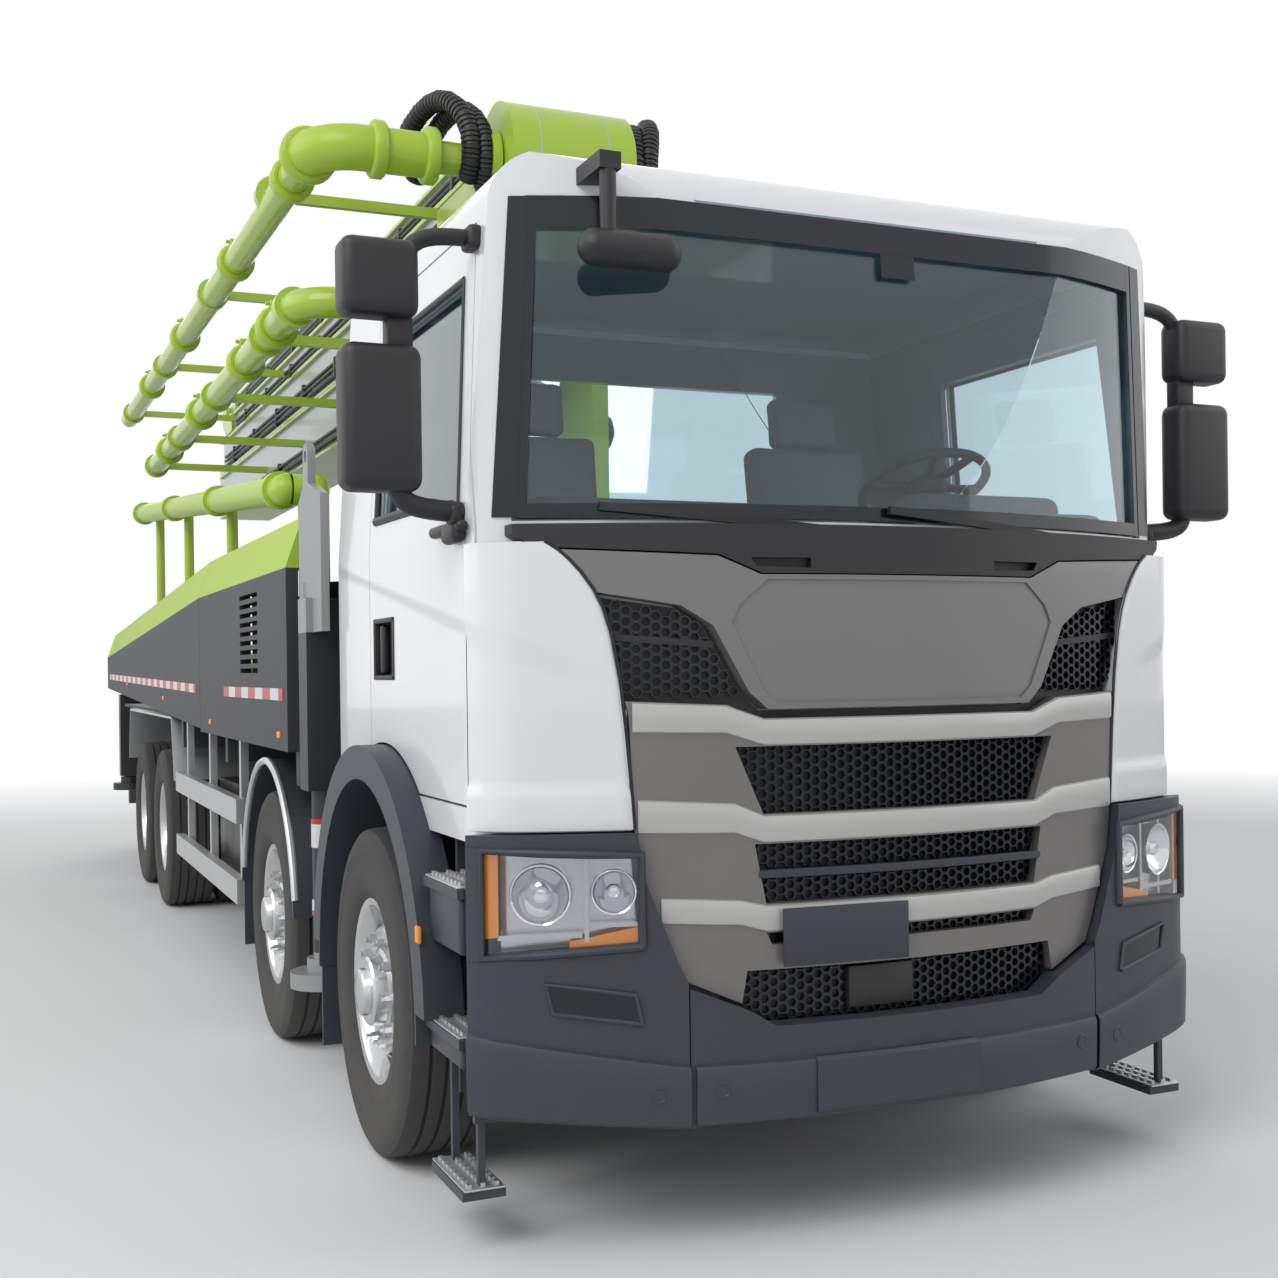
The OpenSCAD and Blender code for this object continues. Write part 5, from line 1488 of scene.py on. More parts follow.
        thick, side = self.frit_depth, self.frit_side / self.glass_size[0]
        bands = [
            bent_sheet(steps(24), [1 - self.frit_top / self.glass_size[1], 0.95, 1.0], at, thick),
            bent_sheet(steps(24), [0.0, self.frit_foot], at, thick),
            bent_sheet([0.0, side], steps(8), at, thick),
            bent_sheet([1 - side, 1.0], steps(8), at, thick),
            bent_sheet(*self.sensor, at, 1.5 * thick),
        ]
        dress(joined(bands), "screen_edge", (Paint.GLOSS_BLACK,), "chassis")

    def band(self, size: Band) -> bpy.types.Object:
        """Models a strip of a headlamp.

        Args:
            size: Its place and thickness.

        Returns:
            The strip.
        """
        def at(column: float, row: float) -> Point:
            low, high = between(*size.low, column), between(*size.high, column)
            return self.bumper_point(between(size.start, size.end, column), between(low, high, row), size.out)

        return bent_sheet(steps(16), steps(2), at, size.thick)

    def lamp_bowl(self, along: float, z: float, r: float) -> list[bpy.types.Object]:
        """Models a headlamp's bowl and its bulb.

        Args:
            along: Distance of its middle along the bumper.
            z: Height of its middle.
            r: Its radius.

        Returns:
            The bowl and the bulb.
        """
        place = Vector(self.bumper_point(along, z, -self.bowl_d))
        ahead = Vector(self.bumper_point(along, z, 0.0))
        turn = (place - ahead).to_track_quat("X", "Z").to_matrix().to_4x4()
        bowl = lathe([(0.020, 0.0), (0.019, 0.3 * r), (0.010, 0.62 * r), (-0.010, 0.93 * r), (-0.022, r),
                      (-0.024, 1.07 * r), (-0.016, 1.10 * r), (0.02, 1.06 * r)], 32)
        bulb = lathe([(0.016, 0.0), (0.014, 0.24 * r), (-0.008, 0.30 * r), (-0.018, 0.2 * r),
                      (-0.020, 0.0)], 16)
        for part in (bowl, bulb):
            part.data.transform(Matrix.Translation(place) @ turn)
        return [bowl, bulb]

    def lamps(self) -> None:
        """Models the headlamps in place of the plain CAD ones: lens, tray, bowls, amber strips and rims."""
        lens = dress(mirrored(self.band(self.lens)), "lamp_lenses", (Paint.LENS,), "chassis")
        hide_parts("headlamps")
        tray = joined([self.band(size) for size in self.trays])
        dress(mirrored(tray), "lamp_trays", (Paint.TRAY,), "chassis")
        bowls = [part for place in self.bowls for part in self.lamp_bowl(*place)]
        dress(mirrored(joined(bowls)), "lamp_bowls", (Paint.CHROME,), "chassis")
        amber = joined([self.band(size) for size in self.ambers])
        dress(mirrored(amber), "lamp_amber", (Paint.AMBER,), "chassis")
        route = [self.bumper_point(along, z, 0.002) for along, z in self.rim_route]
        rims = [tube(route, self.rim_r, 3, False), self.band(self.rim_end)]
        dress(mirrored(joined(rims)), "lamp_rims", (Paint.CHARCOAL,), "chassis")

    def lips(self) -> None:
        """Models the lips that stand out along the bumper's foot."""
        rise = {0.0: -0.002, 0.05: 0.011, 0.5: 0.014, 0.90: 0.015, 0.965: 0.010, 1.0: -0.002}

        def end(column: float, row: float) -> Point:
            low, high = between(*self.lip_low, column), between(*self.lip_high, column)
            return self.bumper_point(between(*self.lip_end, column), between(low, high, row), rise[row])

        def middle(column: float, row: float) -> Point:
            half, low = self.lip_middle
            x = between(-half, half, column)
            return (x, bow_y(x, BUMPER_NOSE_Y) - rise[row], between(low, self.lip_high[0], row))

        parts = [mirrored(bent_sheet(steps(28), list(rise), end, 0.003)),
                 bent_sheet(steps(40), list(rise), middle, 0.003)]
        dress(joined(parts), "bumper_lips", (Paint.CHARCOAL,), "chassis")

    def face_start(self, z: float) -> float:
        """Gives the distance along the front at which a corner face starts.

        Args:
            z: Height.

        Returns:
            The distance.
        """
        for (z0, x0), (z1, x1) in zip(self.face_edge, self.face_edge[1:]):
            if z <= z1:
                return plan_reach(x0 + (x1 - x0) * (z - z0) / (z1 - z0))
        return plan_reach(self.face_edge[-1][1])

    def face_point(self, column: float, row: float) -> Point:
        """Gives a point of a corner face, which swells above its crease and stands out at its foot.

        Args:
            column: Share across the face.
            row: Share up the face.

        Returns:
            The point.
        """
        z = between(*self.face_z, row)
        along = between(self.face_start(z), self.face_end, column)
        swell = clamped((along - self.swell[0]) / self.swell[1])
        crease_z = self.fold[1] + self.fold_slope * (along - self.fold[0])
        above = clamped(0.5 + (z - crease_z) / self.fold_soft)
        foot = clamped((self.foot[0] - z) / self.foot[1])
        brink = min(1.0, column / self.brink) - 1.0
        return front_point(along, z, 0.003 + 0.006 * swell * above + 0.007 * foot + 0.008 * brink)

    def corner_faces(self) -> None:
        """Models the smooth faces of the corner panels, with their curved edge, and the dark seams."""
        columns = [0.0, 0.4 * self.brink, *(between(self.brink, 1.0, share) for share in steps(26))]
        face = bent_sheet(columns, steps(56), self.face_point, self.face_sheet)
        dress(mirrored(face), "corner_faces", (Paint.CAB,), "chassis", 60.0)
        inner = [front_point(plan_reach(x) - 0.003, z, 0.001) for z, x in self.face_edge]
        heights = [between(*self.face_z, share) for share in steps(4)]
        outer = [front_point(self.face_end + 0.006, z, -0.001) for z in heights]
        seams = [tube(inner, 0.005, 2, False), tube(outer, 0.004, 2, False)]
        dress(mirrored(joined(seams)), "corner_seams", (Paint.GLOSS_BLACK,), "chassis")

    def pillars(self) -> None:
        """Models the black edges of the windscreen pillars."""
        def at(column: float, row: float) -> Point:
            z = between(*self.pillar_z, row)
            reach = plan_reach(between(*self.pillar_x, row)) + between(*self.pillar_w, row) * column
            x, y = front_plan(CAB_HW, CAB_NOSE_Y, self.pillar_corner, reach, 0.003)
            return min(x, CAB_HW - (z - BELT_Z) * CAB_LEAN - 0.004), y, z

        edges = mirrored(bent_sheet(steps(6), steps(8), at, 0.003))
        dress(edges, "pillar_edges", (Paint.GLOSS_BLACK,), "chassis")

    def caps(self) -> None:
        """Models the fog lamp panels, tow caps and lower middle plate of the bumper."""
        caps = []
        for along, z in self.tow_caps:
            place, back = Vector(self.bumper_point(along, z, 0.014)), Vector(self.bumper_point(along, z, 0.0))
            turn = (place - back).to_track_quat("X", "Z").to_matrix().to_4x4()
            cap = lathe([(-0.004, 0.022), (0.003, 0.022), (0.004, 0.019), (0.002, 0.017), (0.003, 0.0)], 20)
            cap.data.transform(Matrix.Translation(place) @ turn)
            caps.append(cap)
        dress(mirrored(joined(caps)), "tow_caps", (Paint.CHARCOAL,), "chassis")

        def fog(column: float, row: float, out: float = 0.002) -> Point:
            along = self.fog_start[0] + self.fog_size[0] * column + self.fog_lean[0] * row
            z = self.fog_start[1] + self.fog_lean[1] * column + self.fog_size[1] * row
            return self.bumper_point(along, z, out)

        corners = ((0.0, 0.0), (0.5, 0.0), (1.0, 0.0), (1.0, 1.0), (0.5, 1.0), (0.0, 1.0), (0.0, 0.0))
        rim = tube([fog(column, row, 0.004) for column, row in corners], self.fog_rim_r, 2, False)
        panels = mirrored(bent_sheet(steps(8), steps(1), fog, 0.004))
        dress(panels, "fog_panels", (Paint.GLOSS_BLACK,), "chassis")
        dress(mirrored(rim), "fog_rims", (Paint.CHARCOAL,), "chassis")
        rise = {0.0: 0.010, 0.06: 0.021, 0.94: 0.021, 1.0: 0.010}

        def middle(column: float, row: float) -> Point:
            x = between(*self.middle_x, column)
            return (x, bow_y(x, BUMPER_NOSE_Y) - rise[row], between(*self.middle_z, row))

        plate = bent_sheet(steps(12), list(rise), middle, 0.003)
        dress(plate, "bumper_plate", (Paint.CHARCOAL,), "chassis")

    def plate(self) -> None:
        """Models the blank number plate on its holder, and the plain block in the lower mesh."""
        x, half, (low_z, high_z) = self.plate_x, self.plate_half, self.plate_z
        place = Matrix.Translation((x, bow_y(x, FRONT_NOSE_Y), 0.0))
        turn = place @ Matrix.Rotation(math.asin(x / NOSE_R), 4, "Z")
        back = block((-half + 0.03, -0.020, low_z + 0.013), (half - 0.03, 0.030, high_z - 0.014), 0.006)
        back.data.transform(turn)
        low = self.mesh_block.make()
        low.data.transform(Matrix.Translation((0, FRONT_NOSE_Y, 0)))
        dress(joined([back, low]), "plate_holder", (Paint.BLACK,), "chassis")
        face = block((-half, -0.026, low_z), (half, -0.018, high_z), 0.003)
        face.data.transform(turn)
        dress(face, "number_plate", (Paint.CHARCOAL,), "chassis")

    def build(self) -> None:
        """Models all the cab's trim."""
        self.screen_edge()
        self.lamps()
        self.lips()
        self.corner_faces()
        self.pillars()
        self.caps()
        self.plate()


@dataclass
class CabRoom:
    """The cab's inside: two padded seats, a dashboard with a binnacle, and a steering wheel."""

    seat_x: float = 0.560
    floor_z: float = 1.160
    seat_y: float = -4.730
    dash_y: float = -5.490
    wheel_y: float = -5.290
    wheel_z: float = 2.175
    wheel_r: float = 0.215
    wheel_tilt: float = -24.0
    wheel_grip: float = 0.016
    spoke_turns: Sequence[float] = (180, 250, 290)
    back_tilt: float = 82.0
    channel_u: float = 0.55
    channel_w: float = 0.06
    channel_d: float = 0.010
    draw_in: float = 0.012
    stand_boxes: Sequence[Box] = (
        Box((-0.235, -0.255, 0.0), (0.235, 0.255, 0.030), 0.008),
        Box((-0.180, -0.200, 0.025), (0.180, 0.200, 0.290), 0.030),
        Box((-0.225, -0.250, 0.285), (0.225, 0.240, 0.330), 0.012),
    )
    base_pad: tuple[Point, Point, float] = ((-0.255, -0.295, 0.335), (0.255, 0.235, 0.455), 0.020)
    back_pad: tuple[Point, Point, float] = ((-0.245, -0.410, 0.0), (0.245, 0.410, 0.115), 0.022)
    head_pad: tuple[Point, Point, float] = ((-0.140, -0.100, 0.0), (0.140, 0.100, 0.085), 0.012)
    back_place: Point = (0.0, 0.310, 0.830)
    head_place: Point = (0.0, 0.365, 1.340)
    dash_boxes: Sequence[Box] = (
        Box((-1.015, -0.370, 1.500), (1.015, -0.040, 1.900), 0.050, 4),
        Box((-0.985, -0.250, 1.860), (0.985, 0.010, 2.050), 0.050, 4),
        Box((0.300, -0.170, 2.000), (0.860, 0.005, 2.110), 0.045, 4),
        Box((-0.270, -0.120, 1.480), (0.230, 0.030, 1.880), 0.030, 3),
    )
    vent: Box = Box((-0.090, -0.046, 1.790), (0.090, -0.034, 1.850), 0.006)
    vent_x: Sequence[float] = (-0.90, -0.45, 0.92)
    console_panel: Box = Box((-0.200, 0.026, 1.650), (0.160, 0.034, 1.840), 0.006)

    def cushion(self, low: Point, high: Point, crown: float) -> bpy.types.Object:
        """Models a stuffed pad with a crowned top and sides drawn in between its corners.

        Args:
            low: The lowest corner.
            high: The highest corner.
            crown: Height of the crown.

        Returns:
            The pad.
        """
        made = block(low, high, 0.035, 3)
        deselect()
        made.select_set(True)
        bpy.context.view_layer.objects.active = made
        bpy.ops.object.mode_set(mode="EDIT")
        bpy.ops.mesh.select_all(action="SELECT")
        bpy.ops.mesh.subdivide(number_cuts=5)
        bpy.ops.object.mode_set(mode="OBJECT")
        middle = [(a + b) / 2 for a, b in zip(low, high)]
        half = [(b - a) / 2 for a, b in zip(low, high)]
        for vertex in made.data.vertices:
            u, v, w = ((vertex.co[k] - middle[k]) / half[k] for k in range(3))
            lift = max(0.0, (1 - u * u) * (1 - v * v))
            channel = self.channel_d * max(0.0, 1.0 - abs(abs(u) - self.channel_u) / self.channel_w)
            if w > 0:
                vertex.co.z += crown * lift * w - channel * w
            vertex.co.x -= self.draw_in * (1 - v * v) * u * (1 - abs(w))
            vertex.co.y -= self.draw_in * (1 - u * u) * v * (1 - abs(w))
        return modify(made, "SUBSURF", levels=1, render_levels=1)

    def seat(self) -> tuple[bpy.types.Object, bpy.types.Object]:
        """Models a seat over the origin.

        Returns:
            Its stand and its padding.
        """
        stand = joined([box.make() for box in self.stand_boxes])
        base, back, head = (self.cushion(*pad) for pad in (self.base_pad, self.back_pad, self.head_pad))
        turn = Matrix.Rotation(math.radians(self.back_tilt), 4, "X")
        back.data.transform(Matrix.Translation(self.back_place) @ turn)
        head.data.transform(Matrix.Translation(self.head_place) @ turn)
        return stand, joined([base, back, head])

    def build(self) -> None:
        """Models the seats, the dashboard and the steering wheel in place of the plain CAD interior."""
        stand, padding = self.seat()
        for side, sign in SIDES:
            place = Matrix.Translation((sign * self.seat_x, self.seat_y, self.floor_z))
            foot = copied(stand, place)
            dress(foot, f"seat_stand_{side}", (Paint.DASH,), "chassis")
            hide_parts("cab_interior")
            pad = copied(padding, place)
            dress(pad, f"seat_{side}", (Paint.SEAT,), "chassis", 60.0)
        bpy.data.objects.remove(stand)
        bpy.data.objects.remove(padding)
        self.dashboard()
        self.steering_wheel()

    def dashboard(self) -> None:
        """Models the dashboard with its instrument hood, vents and middle console."""
        place = Matrix.Translation((0, self.dash_y, 0))
        board = joined([box.make() for box in self.dash_boxes])
        board.data.transform(place)
        dress(board, "dashboard", (Paint.DASH,), "chassis")
        vent = self.vent.make()
        panels = joined([*(copied(vent, Matrix.Translation((x, 0, 0))) for x in self.vent_x),
                         self.console_panel.make()])
        bpy.data.objects.remove(vent)
        panels.data.transform(place)
        dress(panels, "dash_panels", (Paint.GLOSS_BLACK,), "chassis")

    def steering_wheel(self) -> None:
        """Models the steering wheel with its spokes, boss and column."""
        deselect()
        bpy.ops.mesh.primitive_torus_add(
            major_radius=self.wheel_r, minor_radius=self.wheel_grip, major_segments=48, minor_segments=12
        )
        rim = bpy.context.object
        boss = lathe([(-0.060, 0.0), (-0.060, 0.045), (-0.020, 0.080), (0.005, 0.072), (0.014, 0.040),
                      (0.016, 0.0)], 28)
        boss.data.transform(Matrix.Rotation(-math.pi / 2, 4, "Y"))
        spokes = [tube([(0.05, 0, 0.0), (0.12, 0, -0.012), (self.wheel_r, 0, 0.0)], 0.014)]
        spokes += [copied(spokes[0], Matrix.Rotation(math.radians(a), 4, "Z")) for a in self.spoke_turns]
        column = tube([(0, 0, -0.02), (0, 0, -0.20), (0, 0, -0.40)], 0.038, 4, False)
        wheel = joined([rim, boss, *spokes, column])
        wheel.data.transform(Matrix.Translation((self.seat_x, self.wheel_y, self.wheel_z))
                             @ Matrix.Rotation(math.radians(self.wheel_tilt), 4, "X"))
        dress(wheel, "steering_wheel", (Paint.BLACK,), "chassis", 60.0)


@dataclass
class Outside:
    """Small parts on the body: strips, markers, bands, trims and tail lamps."""

    cover_x: float = 1.240
    leg: tuple[float, float] = (1.160, -3.730)
    arch_r: float = 0.661
    arch_x: float = 1.238
    arch_trim_r: float = 0.016
    strip_runs: Sequence[tuple[float, float, float, float]] = (
        (-3.30, -1.62, 1.455, 0.0), (-0.50, 5.70, 1.462, 0.011),
    )
    strip_h: float = 0.050
    marker_places: Sequence[tuple[float, float]] = (
        (-3.20, 1.300), (-1.10, 1.300), (1.2, 1.400), (3.9, 1.480),
    )
    marker_size: tuple[float, float] = (0.060, 0.028)
    flare_marker: Box = Box((1.246, -5.50, 0.800), (1.258, -5.46, 0.850), 0.005)
    louvre_back: Box = Box((1.176, -2.680, 1.560), (1.182, -2.150, 1.955), 0.002)
    band_heights: Sequence[tuple[float, float]] = ((0.640, 0.700), (0.900, 1.010))
    band_r: tuple[float, float] = (0.053, 0.0555)
    tail_y: float = 5.670
    tail_z: tuple[float, float] = (0.430, 0.495)

    def strips(self) -> None:
        """Models the red and white reflective strips along the covers."""
        bars = []
        for y0, y1, low, slope in self.strip_runs:
            lift = slope * (y1 - y0)
            bar = block((self.cover_x - 0.002, y0, low), (self.cover_x + 0.003, y1, low + self.strip_h), 0.0)
            for vertex in bar.data.vertices:
                if vertex.co.y > (y0 + y1) / 2:
                    vertex.co.z += lift
            bars.append(bar)
        dress(mirrored(joined(bars)), "cover_strips", (Paint.STRIPE,), "chassis")

    def markers(self) -> None:
        """Models the amber markers along the covers and on the arch flares."""
        back, face = self.cover_x - 0.004, self.cover_x + 0.008
        half, tall = self.marker_size[0] / 2, self.marker_size[1]
        lamps = [block((back, y - half, z), (face, y + half, z + tall), 0.006) for y, z in self.marker_places]
        lamps.append(self.flare_marker.make())
        dress(mirrored(joined(lamps)), "side_markers", (Paint.AMBER,), "chassis")

    def arch_trim(self) -> None:
        """Models the bright trim of the second axle's arches and the dark backs of the louvres."""
        turns = [math.radians(degrees) for degrees in range(12, 169, 6)]
        arc = [(self.arch_x, AXLE_Y[1] + self.arch_r * math.cos(a), AXLE_Z + self.arch_r * math.sin(a))
               for a in turns]
        trim = mirrored(tube(arc, self.arch_trim_r, 3, False))
        dress(trim, "arch_trim", (Paint.ALLOY,), "chassis")
        back = mirrored(self.louvre_back.make())
        dress(back, "louvre_backs", (Paint.BLACK,), "chassis")

    def leg_bands(self) -> None:
        """Models the red and white bands round the front jacks."""
        for side, sign in SIDES:
            inner, outer = self.band_r
            made = joined([lathe([(low, inner), (low, outer), (high, outer), (high, inner)], 32)
                           for low, high in self.band_heights])
            place = Matrix.Translation((sign * self.leg[0], self.leg[1], 0.0))
            made.data.transform(place @ Matrix.Rotation(-math.pi / 2, 4, "Y"))
            dress(made, f"leg_bands_{side}", (Paint.STRIPE_UP,), f"front_jack_{side}")

    def tail_lamps(self) -> None:
        """Models the rear lamp clusters on the underrun beam."""
        y, (low, high) = self.tail_y, self.tail_z
        box = block((0.70, y - 0.010, low - 0.015), (1.06, y + 0.040, high + 0.015), 0.010)
        dress(mirrored(box), "tail_lamp_boxes", (Paint.BLACK,), "chassis")
        red = block((0.72, y + 0.036, low), (0.86, y + 0.046, high), 0.006)
        dress(mirrored(red), "tail_lamps", (Paint.RED_LENS,), "chassis")
        amber = block((0.88, y + 0.036, low), (1.04, y + 0.046, high), 0.006)
        dress(mirrored(amber), "tail_turn_lamps", (Paint.AMBER,), "chassis")

    def build(self) -> None:
        """Models the body's small parts."""
        self.strips()
        self.markers()
        self.tail_lamps()
        self.leg_bands()
        self.arch_trim()


@dataclass
class BoomTrim:
    """Hydraulic lines, corrugated hoses, the front bend and pipe clamps on the boom sections."""

    line_r: float = 0.013
    hose_r: float = 0.044
    bend_r: float = 0.190
    sleeve_r: float = 0.096
    saddles: int = 7
    line_runs: Sequence[tuple[tuple[float, float], Sequence[float]]] = (
        ((-2.40, 5.40), (3.10, 3.145)),
        ((-2.20, 5.60), (3.52, 3.56, 3.60)),
        ((-2.60, 5.10), (3.83, 3.865)),
        ((-2.60, 5.20), (4.03, 4.055)),
    )
    hose_route: Sequence[tuple[float, float]] = (
        (-2.62, 3.86), (-2.72, 3.99), (-2.88, 4.075), (-3.05, 4.085), (-3.20, 4.01), (-3.27, 3.88),
        (-3.26, 3.75), (-3.18, 3.66),
    )
    hose_places: Sequence[tuple[float, float, float]] = ((0.610, 0.410, 0.0), (0.500, 0.345, 0.035))
    sleeve_x: float = -0.560
    flange_x: Sequence[float] = (-0.575, -0.800)
    low_clamps: Sequence[float] = (-2.15, -1.2, 0.6, 2.4)
    left_clamps: Sequence[float] = (-2.1, 0.6, 3.2, 4.5)
    left_pipe_z: float = 3.615
    high_clamps: Sequence[float] = (-2.60, -0.9, 1.4, 3.6)
    high_pipe: tuple[float, float] = (-2.990, 0.0153)

    def lines(self) -> None:
        """Models the hydraulic lines along the boom's webs, on both sides."""
        for number, (web, ((y0, y1), heights)) in enumerate(zip(WEB_X, self.line_runs), 1):
            body = f"boom_{number}"
            parts = []
            for index, z in enumerate(heights):
                x = web + 0.018 + 0.004 * (index % 2)
                parts.append(tube([(x, y0, z), (x, (y0 + y1) / 2, z), (x, y1, z)], self.line_r, 2, False))
            for k in range(self.saddles):
                y = y0 + (y1 - y0) * (k + 0.5) / self.saddles
                low = (web - 0.002, y - 0.020, heights[0] - 0.030)
                high = (web + 0.036, y + 0.020, heights[-1] + 0.030)
                parts.append(block(low, high, 0.004))
            dress(mirrored(joined(parts)), f"{body}_lines", (Paint.BLACK,), body)

    def hoses(self) -> None:
        """Models the corrugated hoses that loop over the front joint beside its drum."""
        parts = []
        for x0, x1, drop in self.hose_places:
            knots = [Vector((x0 + (x1 - x0) * min(1.0, k / 5), y, z - drop))
                     for k, (y, z) in enumerate(self.hose_route)]
            route = [a.lerp(b, k / 6) for a, b in zip(knots, knots[1:]) for k in range(6)]
            last = len(route) - 1
            route = [(route[max(k - 3, 0)] + 2 * spot + route[min(k + 3, last)]) / 4
                     for k, spot in enumerate(route)]
            parts.append(tube([tuple(p) for p in route], self.hose_r - 0.006, 3))
            r = self.hose_r
            ring = lathe([(-0.010, r - 0.008), (-0.006, r), (0.006, r), (0.010, r - 0.008)], 14)
            for here, there in zip(route, route[1:]):
                turn = (there - here).to_track_quat("X", "Z").to_matrix().to_4x4()
                parts.append(copied(ring, Matrix.Translation(here) @ turn))
            bpy.data.objects.remove(ring)
        dress(mirrored(joined(parts)), "head_hoses", (Paint.BLACK,), "boom_3", 50.0)

    def bend(self) -> None:
        """Models the thick wear sleeve and flanges of the front bend of the upper pipe."""
        cx, cy, z = -PIPE_X + self.bend_r, FRONT_FOLD_Y + self.bend_r, FRONT_FOLD_Z
        turns = [math.radians(180 + a) for a in range(0, 91, 9)]
        route = [(cx + self.bend_r * math.cos(a), cy + self.bend_r * math.sin(a), z) for a in turns]
        parts = [tube([*route, (self.sleeve_x, FRONT_FOLD_Y, z)], self.sleeve_r, 5, False)]
        flange = lathe([(-0.030, 0.090), (-0.030, 0.112), (-0.020, 0.122), (0.020, 0.122), (0.030, 0.112),
                        (0.030, 0.090)], 32)
        parts.append(copied(flange, Matrix.Translation(route[0]) @ Matrix.Rotation(math.pi / 2, 4, "Z")))
        parts += [copied(flange, Matrix.Translation((x, FRONT_FOLD_Y, z))) for x in self.flange_x]
        bpy.data.objects.remove(flange)
        dress(joined(parts), "front_bend", (Paint.LIME,), "boom_3", 50.0)

    def clamps(self) -> None:
        """Models bolted clamps on the couplings of the boom's pipes."""
        clamp = lathe([(-0.045, 0.071), (-0.045, 0.086), (-0.030, 0.098), (0.030, 0.098), (0.045, 0.086),
                       (0.045, 0.071)], 28)
        lug = block((-0.022, -0.030, 0.090), (0.022, 0.030, 0.128), 0.006)
        bolt = tube([(0, -0.05, 0.112), (0, 0.05, 0.112)], 0.010, 2, False)
        clamp = joined([clamp, lug, bolt])
        clamp.data.transform(Matrix.Rotation(math.pi / 2, 4, "Z"))
        start, slope = self.high_pipe
        rows = {
            "boom_1": [(-PIPE_X, y, PIVOT_Z) for y in self.low_clamps],
            "boom_2": [(PIPE_X, y, self.left_pipe_z) for y in self.left_clamps],
            "boom_3": [(-PIPE_X, y, FRONT_FOLD_Z + (y - start) * slope) for y in self.high_clamps],
        }
        for body, places in rows.items():
            made = joined([copied(clamp, Matrix.Translation(p)) for p in places])
            dress(made, f"{body}_clamps", (Paint.LIME,), body)
        bpy.data.objects.remove(clamp)

    def build(self) -> None:
        """Models the boom's trim."""
        self.lines()
        self.hoses()
        self.bend()
        self.clamps()


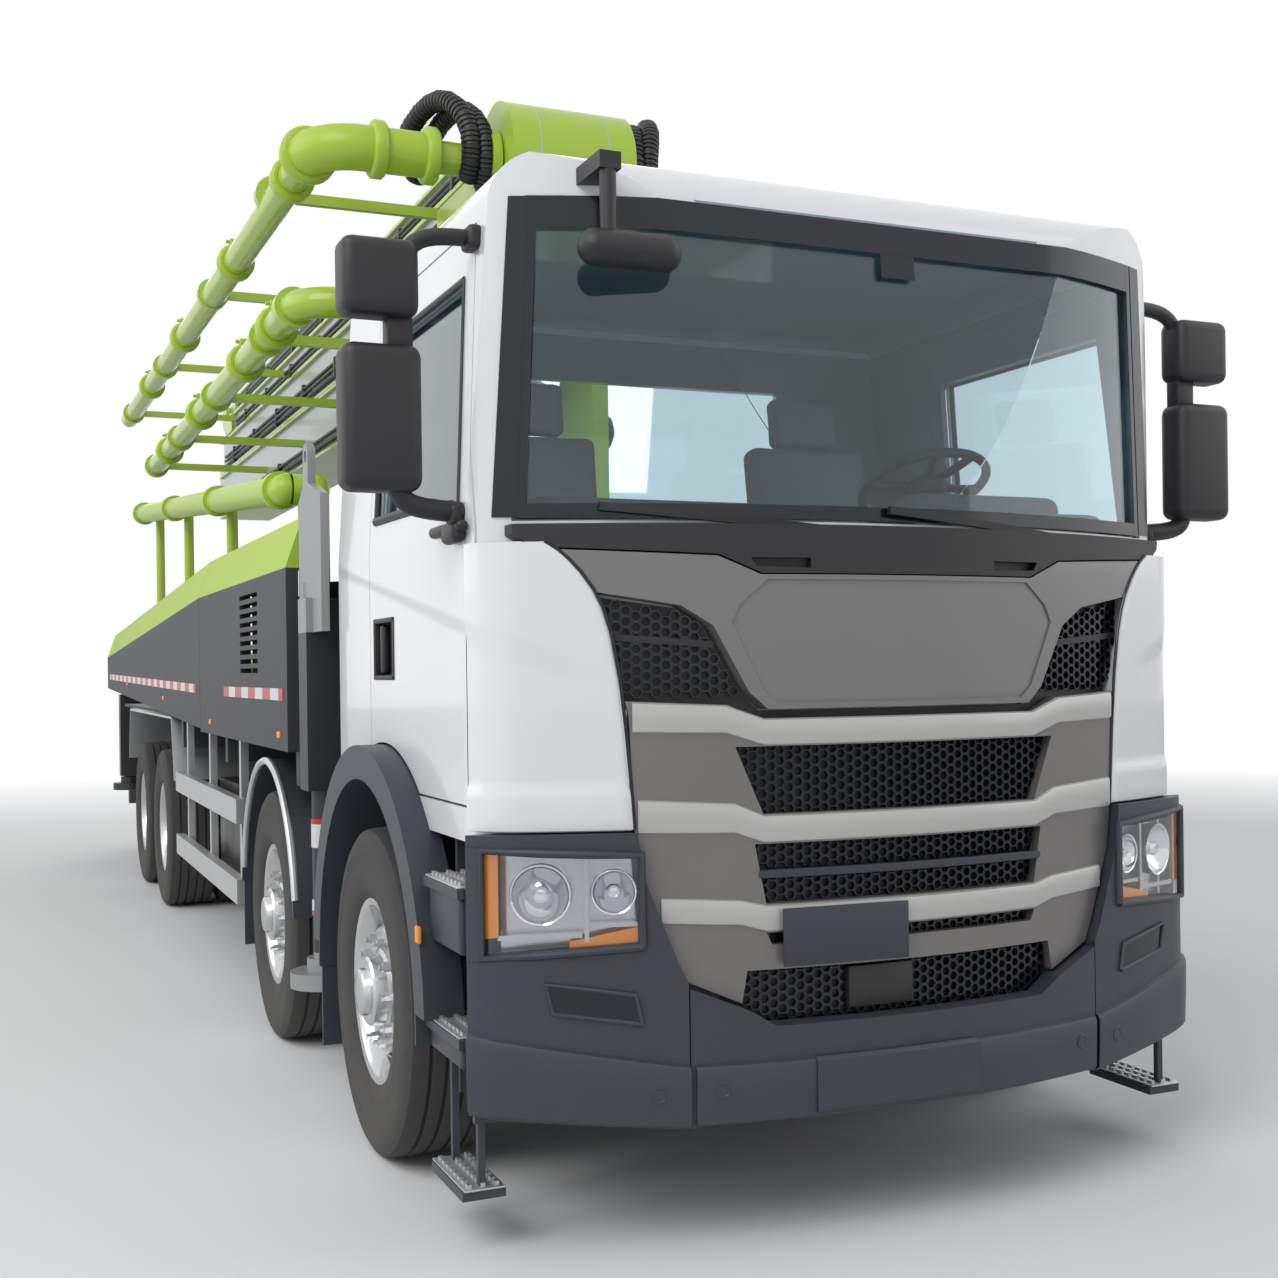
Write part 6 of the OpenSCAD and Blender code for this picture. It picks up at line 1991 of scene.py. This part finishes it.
@dataclass
class CabSides:
    """Mirrors, door handles, window seals and step treads."""

    mirror_y: float = -5.680
    housings: Sequence[Box] = (
        Box((1.284, -0.070, 2.045), (1.498, 0.055, 2.436), 0.035, 4),
        Box((1.288, -0.066, 2.508), (1.496, 0.055, 2.716), 0.032, 4),
    )
    arm_routes: Sequence[tuple[Sequence[Point], float]] = (
        (((1.340, 0.0, 2.400), (1.340, 0.0, 2.735), (1.325, 0.0, 2.748), (1.120, 0.0, 2.748)), 0.024),
        (((1.340, 0.0, 2.080), (1.340, 0.0, 2.020), (1.320, 0.0, 2.004), (1.166, 0.010, 2.000)), 0.029),
    )
    brackets: Sequence[Box] = (
        Box((1.160, -0.030, 1.915), (1.202, 0.100, 1.975), 0.018, 3),
        Box((1.160, -0.050, 1.944), (1.196, 0.250, 1.976), 0.014, 3),
        Box((1.166, -0.022, 1.960), (1.206, 0.032, 2.022), 0.016, 3),
        Box((1.300, -0.030, 2.420), (1.372, 0.030, 2.520), 0.010, 2),
        Box((1.108, -0.045, 2.715), (1.150, 0.045, 2.780), 0.015, 3),
    )
    panes: Sequence[Box] = (
        Box((1.306, 0.050, 2.068), (1.478, 0.060, 2.414)),
        Box((1.310, 0.050, 2.530), (1.476, 0.060, 2.694)),
    )
    grip_boxes: Sequence[Box] = (
        Box((1.128, -4.870, 1.552), (1.134, -4.622, 1.730), 0.002),
        Box((1.132, -4.700, 1.560), (1.160, -4.662, 1.722), 0.010, 3),
        Box((1.130, -4.884, 1.540), (1.169, -4.866, 1.742)),
        Box((1.130, -4.626, 1.540), (1.169, -4.608, 1.742)),
        Box((1.130, -4.884, 1.540), (1.169, -4.608, 1.556)),
        Box((1.130, -4.884, 1.726), (1.169, -4.608, 1.742)),
    )
    window: Sequence[tuple[float, float]] = (
        (-5.635, 1.970), (-5.350, 2.055), (-4.625, 2.065), (-4.625, 2.660), (-5.580, 2.660), (-5.635, 1.970),
    )
    seal_r: tuple[float, float] = (0.017, 0.011)
    sill_z: float = 2.100
    seal_d: float = 0.004
    tread_places: Sequence[tuple[float, float, float]] = (
        (0.930, 1.222, 0.986), (0.930, 1.222, 0.586), (1.098, 1.212, 0.176),
    )
    tread_y: tuple[float, float] = (-5.780, -5.450)
    tooth_pitch: float = 0.042
    tooth_rows: int = 8
    tooth_run: float = 0.310
    riser_x: tuple[float, float] = (1.020, 1.214)
    riser_z: Sequence[tuple[float, float]] = ((0.806, 0.962), (0.500, 0.560))

    def wall_x(self, z: float) -> float:
        """Gives the distance of the cab's side from the middle.

        Args:
            z: Height.

        Returns:
            The distance.
        """
        return CAB_HW - max(0.0, z - BELT_Z) * CAB_LEAN

    def mirrors(self) -> None:
        """Models the mirrors in place of the plain CAD ones."""
        arms = [tube(route, radius) for route, radius in self.arm_routes]
        blocks = [box.make() for box in (*self.housings, *self.brackets)]
        shell = joined([*blocks, *arms])
        panes = joined([box.make() for box in self.panes])
        for side, sign in SIDES:
            flip = Matrix.Scale(sign, 4, (1, 0, 0)) @ Matrix.Translation((0, self.mirror_y, 0))
            door = f"door_{side}"
            made = dress(copied(shell, flip), f"mirror_shell_{side}", (Paint.BLACK,), door)
            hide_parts(f"mirror_{side}")
            dress(copied(panes, flip), f"mirror_pane_{side}", (Paint.CHROME,), door)
        bpy.data.objects.remove(shell)
        bpy.data.objects.remove(panes)

    def doors(self) -> None:
        """Models the grip in each door's recess and the seal round its window."""
        rows = []
        for (ya, za), (yb, zb) in zip(self.window, self.window[1:]):
            wide = self.seal_r[0] if max(za, zb) < self.sill_z else self.seal_r[1]
            ends = [(self.wall_x(z) - self.seal_d, y, z) for y, z in ((ya, za), (yb, zb))]
            rows.append(tube(ends, wide, 2, False))
        seal, grips = joined(rows), joined([box.make() for box in self.grip_boxes])
        for side, sign in SIDES:
            flip = Matrix.Scale(sign, 4, (1, 0, 0))
            dress(copied(seal, flip), f"window_seal_{side}", (Paint.BLACK,), f"door_{side}")
            dress(copied(grips, flip), f"door_grip_{side}", (Paint.BLACK,), f"door_{side}")
        bpy.data.objects.remove(seal)
        bpy.data.objects.remove(grips)

    def treads(self) -> None:
        """Models the galvanised treads with their rows of teeth, and the risers below them."""
        parts = []
        tooth = block((-0.006, -0.012, 0.0), (0.006, 0.012, 0.010), 0.0)
        front, back = self.tread_y
        for x0, x1, z in self.tread_places:
            parts.append(block((x0, front, z), (x1, back, z + 0.006), 0.002))
            columns = max(3, round((x1 - x0) / self.tooth_pitch))
            for i in range(columns):
                for j in range(self.tooth_rows):
                    x = x0 + (x1 - x0) * (i + 0.5) / columns
                    y = front + 0.010 + self.tooth_run * (j + 0.5) / self.tooth_rows
                    parts.append(copied(tooth, Matrix.Translation((x, y, z + 0.005))))
        bpy.data.objects.remove(tooth)
        dress(mirrored(joined(parts)), "step_treads", (Paint.TREAD,), "chassis")
        (inner, outer), inset = self.riser_x, 0.008
        panels = [block((inner, front + inset, low), (outer, back - inset, high), 0.012, 3)
                  for low, high in self.riser_z]
        dress(mirrored(joined(panels)), "step_panels", (Paint.CHARCOAL,), "chassis")

    def build(self) -> None:
        """Models the cab's sides."""
        self.mirrors()
        self.doors()
        self.treads()


ASSEMBLIES = (Wheels(), Grille(), CabTrim(), CabRoom(), CabSides(), Outside(), BoomTrim())


def paint_nodes() -> None:
    """Gives every CAD node its finish."""
    for paint, names in NODE_PAINT.items():
        for name in names:
            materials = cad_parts[name].data.materials
            made = paint.value.make()
            if len(materials):
                for index in range(len(materials)):
                    materials[index] = made
            else:
                materials.append(made)


def main() -> None:
    """Builds the stage and every sub-assembly in order."""
    logging.basicConfig(level=logging.INFO, format="%(message)s")
    Stage().build()
    paint_nodes()
    for assembly in ASSEMBLIES:
        assembly.build()


if __name__ == "__main__":
    main()
